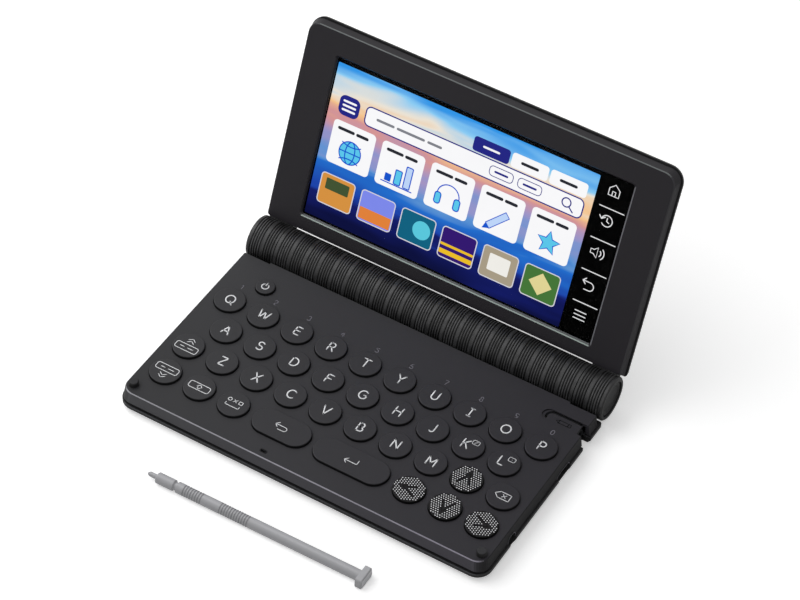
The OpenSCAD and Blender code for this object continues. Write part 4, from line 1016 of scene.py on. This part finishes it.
# %% Search field and bars that stand for words
lens_sign = [arc(36.6, 61.0, 1.7, 1.7, 0, 360, 20), [(37.9, 59.7), (39.6, 58.2)]]
light_words = bars(TAB_ROW, (1.8, 7.8)) + [stroke for y in (59.2, 60.9, 62.6) for stroke in bars(y, (-54.3, -49.5))]
card_spans = [(x + start, x + end) for x in CARDS for start, end in ((-6.2, -0.4), (1.4, 5.4))]
lid_strokes("search_outline", [box_outline(*SEARCH, 6)], navy_light, 0.5, FILL)
lid_strokes("search_lens", lens_sign, navy_light, 0.5)
lid_strokes("search_buttons", [box_outline(x, SEARCH_ROW, 9.4, 3.8, 1.4) for x in (22.0, 10.6)], navy_light, 0.3)
lid_strokes("search_words", bars(SEARCH_ROW, (-40, -33.5), (-31.6, -21), (-19, -14)), grey_light, 1.0)
lid_strokes("button_words", bars(SEARCH_ROW, (19.6, 24.4), (8.2, 13.0)), navy_light, 0.8)
lid_strokes("tab_words", bars(TAB_ROW, *((x - 3, x + 3) for x in TABS)), dark_light, 1.1)
lid_strokes("tab_word_light", light_words, white_light, 0.8)
lid_strokes("card_words", bars(51.9, *card_spans), dark_light, 1.2)

# %% Signs on the cards
def on_card(number, *strokes):
    """Strokes that were drawn about (0, 0), on a card."""
    return moved(CARDS[number], 44.0, strokes)


GLOBE, CHART, PHONES, PEN, STAR = range(5)
ball = arc(0, 0, 4.4, 4.4, 0, 360, 32)
BARS = {"low": (-3.9, -2.4, 2.6, 3.0, .3), "mid": (0, -1.1, 2.6, 5.6, .3), "high": (3.9, 0.3, 2.6, 8.4, .3)}
ears = [(x, -1.7, 2.4, 4.4, 1.0) for x in (-3.9, 3.9)]
pen_body = [(-4.2, -2.8), (-2.4, -4.6), (4.2, 2.0), (2.4, 3.8)]
pen_tip = [(-5.2, -5.4), (-2.4, -4.6), (-4.2, -2.8)]
star_turns = [(radians(36 * i), (4.6, 2.1)[i % 2]) for i in range(10)]
star = [(r * sin(turn), r * cos(turn) - 0.3) for turn, r in star_turns]

film("sign_fills", [
    *on_card(GLOBE, ball[:-1]), *on_card(CHART, rounded(*BARS["mid"])), *on_card(STAR, star),
    *on_card(PHONES, *(rounded(*ear) for ear in ears))], cyan_light, FILL)
film("sign_fills_pale", [*on_card(CHART, rounded(*BARS["high"])), *on_card(PEN, pen_body)], pale_light, FILL)
film("sign_fills_blue", [*on_card(CHART, rounded(*BARS["low"])), *on_card(PEN, pen_tip)], blue_light, FILL)
lid_strokes("card_signs", [
    *on_card(GLOBE, ball, arc(0, 0, 1.9, 4.4, 0, 360, 28), [(-4.2, 0), (4.2, 0)],
             arc(0, 6.6, 6, 4.2, 231, 309, 8), arc(0, -6.6, 6, 4.2, 51, 129, 8)),
    *on_card(CHART, *(box_outline(*BARS[bar], 2) for bar in ("mid", "high")), [(-6.3, -4.4), (6.3, -4.4)]),
    *on_card(PHONES, [(-4.4, .4), *arc(0, .4, 4.4, 4.2, 180, 0, 18)], *(box_outline(*ear) for ear in ears)),
    *on_card(PEN, pen_body + pen_body[:1]), *on_card(STAR, star + star[:1])], blue_light, 0.45)

# %% Small tiles
TILES = [-49.3 + 16.9 * i for i in range(6)]
TILE = (27.2, 13.9, 12.0, 1.3)
TILE_TONES = ((214, 146, 66), (126, 138, 236), (20, 98, 128), (52, 26, 112), (168, 156, 134), (70, 118, 58))
MARK_TONES = ((66, 84, 52), (226, 130, 60), (90, 200, 220), (236, 190, 40), (240, 238, 232), (226, 214, 150))
MARKS = (
    [rounded(0, 29.4, 9.6, 4.4, .4)],
    [rounded(0, 24.2, 13.0, 4.6, .3)],
    [arc(2, 27.4, 3.6, 3.6, 0, 360, 28)[:-1]],
    [rounded(0, 23.6, 13.4, 1.8, .3), rounded(0, 26.4, 13.4, 1.0, .3)],
    [rounded(0, 27.6, 8.4, 6.6, .5)],
    [[(0, 31.8), (-4.6, 27.4), (0, 23.0), (4.6, 27.4)]],
)
for i, x in enumerate(TILES):
    film(f"tile_{i + 1}", [rounded(x, *TILE)], lit(f"tile_light_{i + 1}", *TILE_TONES[i]), CARD)
for i, x in enumerate(TILES):
    film(f"tile_mark_{i + 1}", moved(x, 0, MARKS[i]), lit(f"mark_light_{i + 1}", *MARK_TONES[i]), FILL)
lid_strokes("tile_frames", [box_outline(x, *TILE) for x in TILES], lit("frame_light", 214, 214, 222), 0.4)

# %% [markdown]
# ## The touch strip
# Beside the picture the glass is black, with five white printed signs between fine lines: home,
# history, sound, back and menu. They have a painted glow, a little less than paper white.

# %% Touch strip
STRIP_END = 61.6
strip_black = ink("strip_black", tone(4, 4, 4), 0.1, specular=0.02)
strip_plate = rounded((RIGHT + STRIP_END) / 2, middle[1], STRIP_END - RIGHT, tall + 6, 0.3)
film("strip_ground", [strip_plate], strip_black, PICTURE)

TOUCH_SIGNS = {  # height on the lid's board: strokes about (0, 0)
    72.3: [[(-2, -2), (-2, .6), (0, 2.3), (2, .6), (2, -2), (-2, -2)], [(-.6, -2), (-.6, -.3), (.6, -.3), (.6, -2)]],
    60.6: [arc(.2, 0, 2.1, 2.1, 170, -140, 22), [(-2.9, 1.3), (-1.9, .2)], [(-.7, 1.2), (-1.9, .2)],
           *bent((.2, 1.1), (.2, -.1), (1.1, -.5))],
    47.9: [[(-2.6, .8), (-1.4, .8), (0, 2), (0, -2), (-1.4, -.8), (-2.6, -.8), (-2.6, .8)],
           arc(.2, 0, 1.2, 1.3, 50, -50, 8), arc(.2, 0, 2.4, 2.5, 50, -50, 10)],
    35.0: [[(-2.3, 1.1), (.6, 1.1), *arc(.6, -.5, 1.6, 1.6, 90, -90, 12), (-1.2, -2.1)],
           [(-2.3, 1.1), (-1.2, 2.2)], [(-2.3, 1.1), (-1.2, 0)]],
    22.6: [[(-2.2, h), (2.2, h)] for h in (1.5, 0, -1.5)],
}
strip = [[(48.5, y), (58.0, y)] for y in (65.4, 52.9, 40.2, 27.6)]
for y, strokes in TOUCH_SIGNS.items():
    strip += moved(52.4, y, strokes)
# Painted glow: the printed signs and lines shine by themselves.
lid_strokes("touch_signs", strip, lit("strip_white_glow", 225, 226, 228), 0.38)
print("strip signs:", len(strip), "strokes")
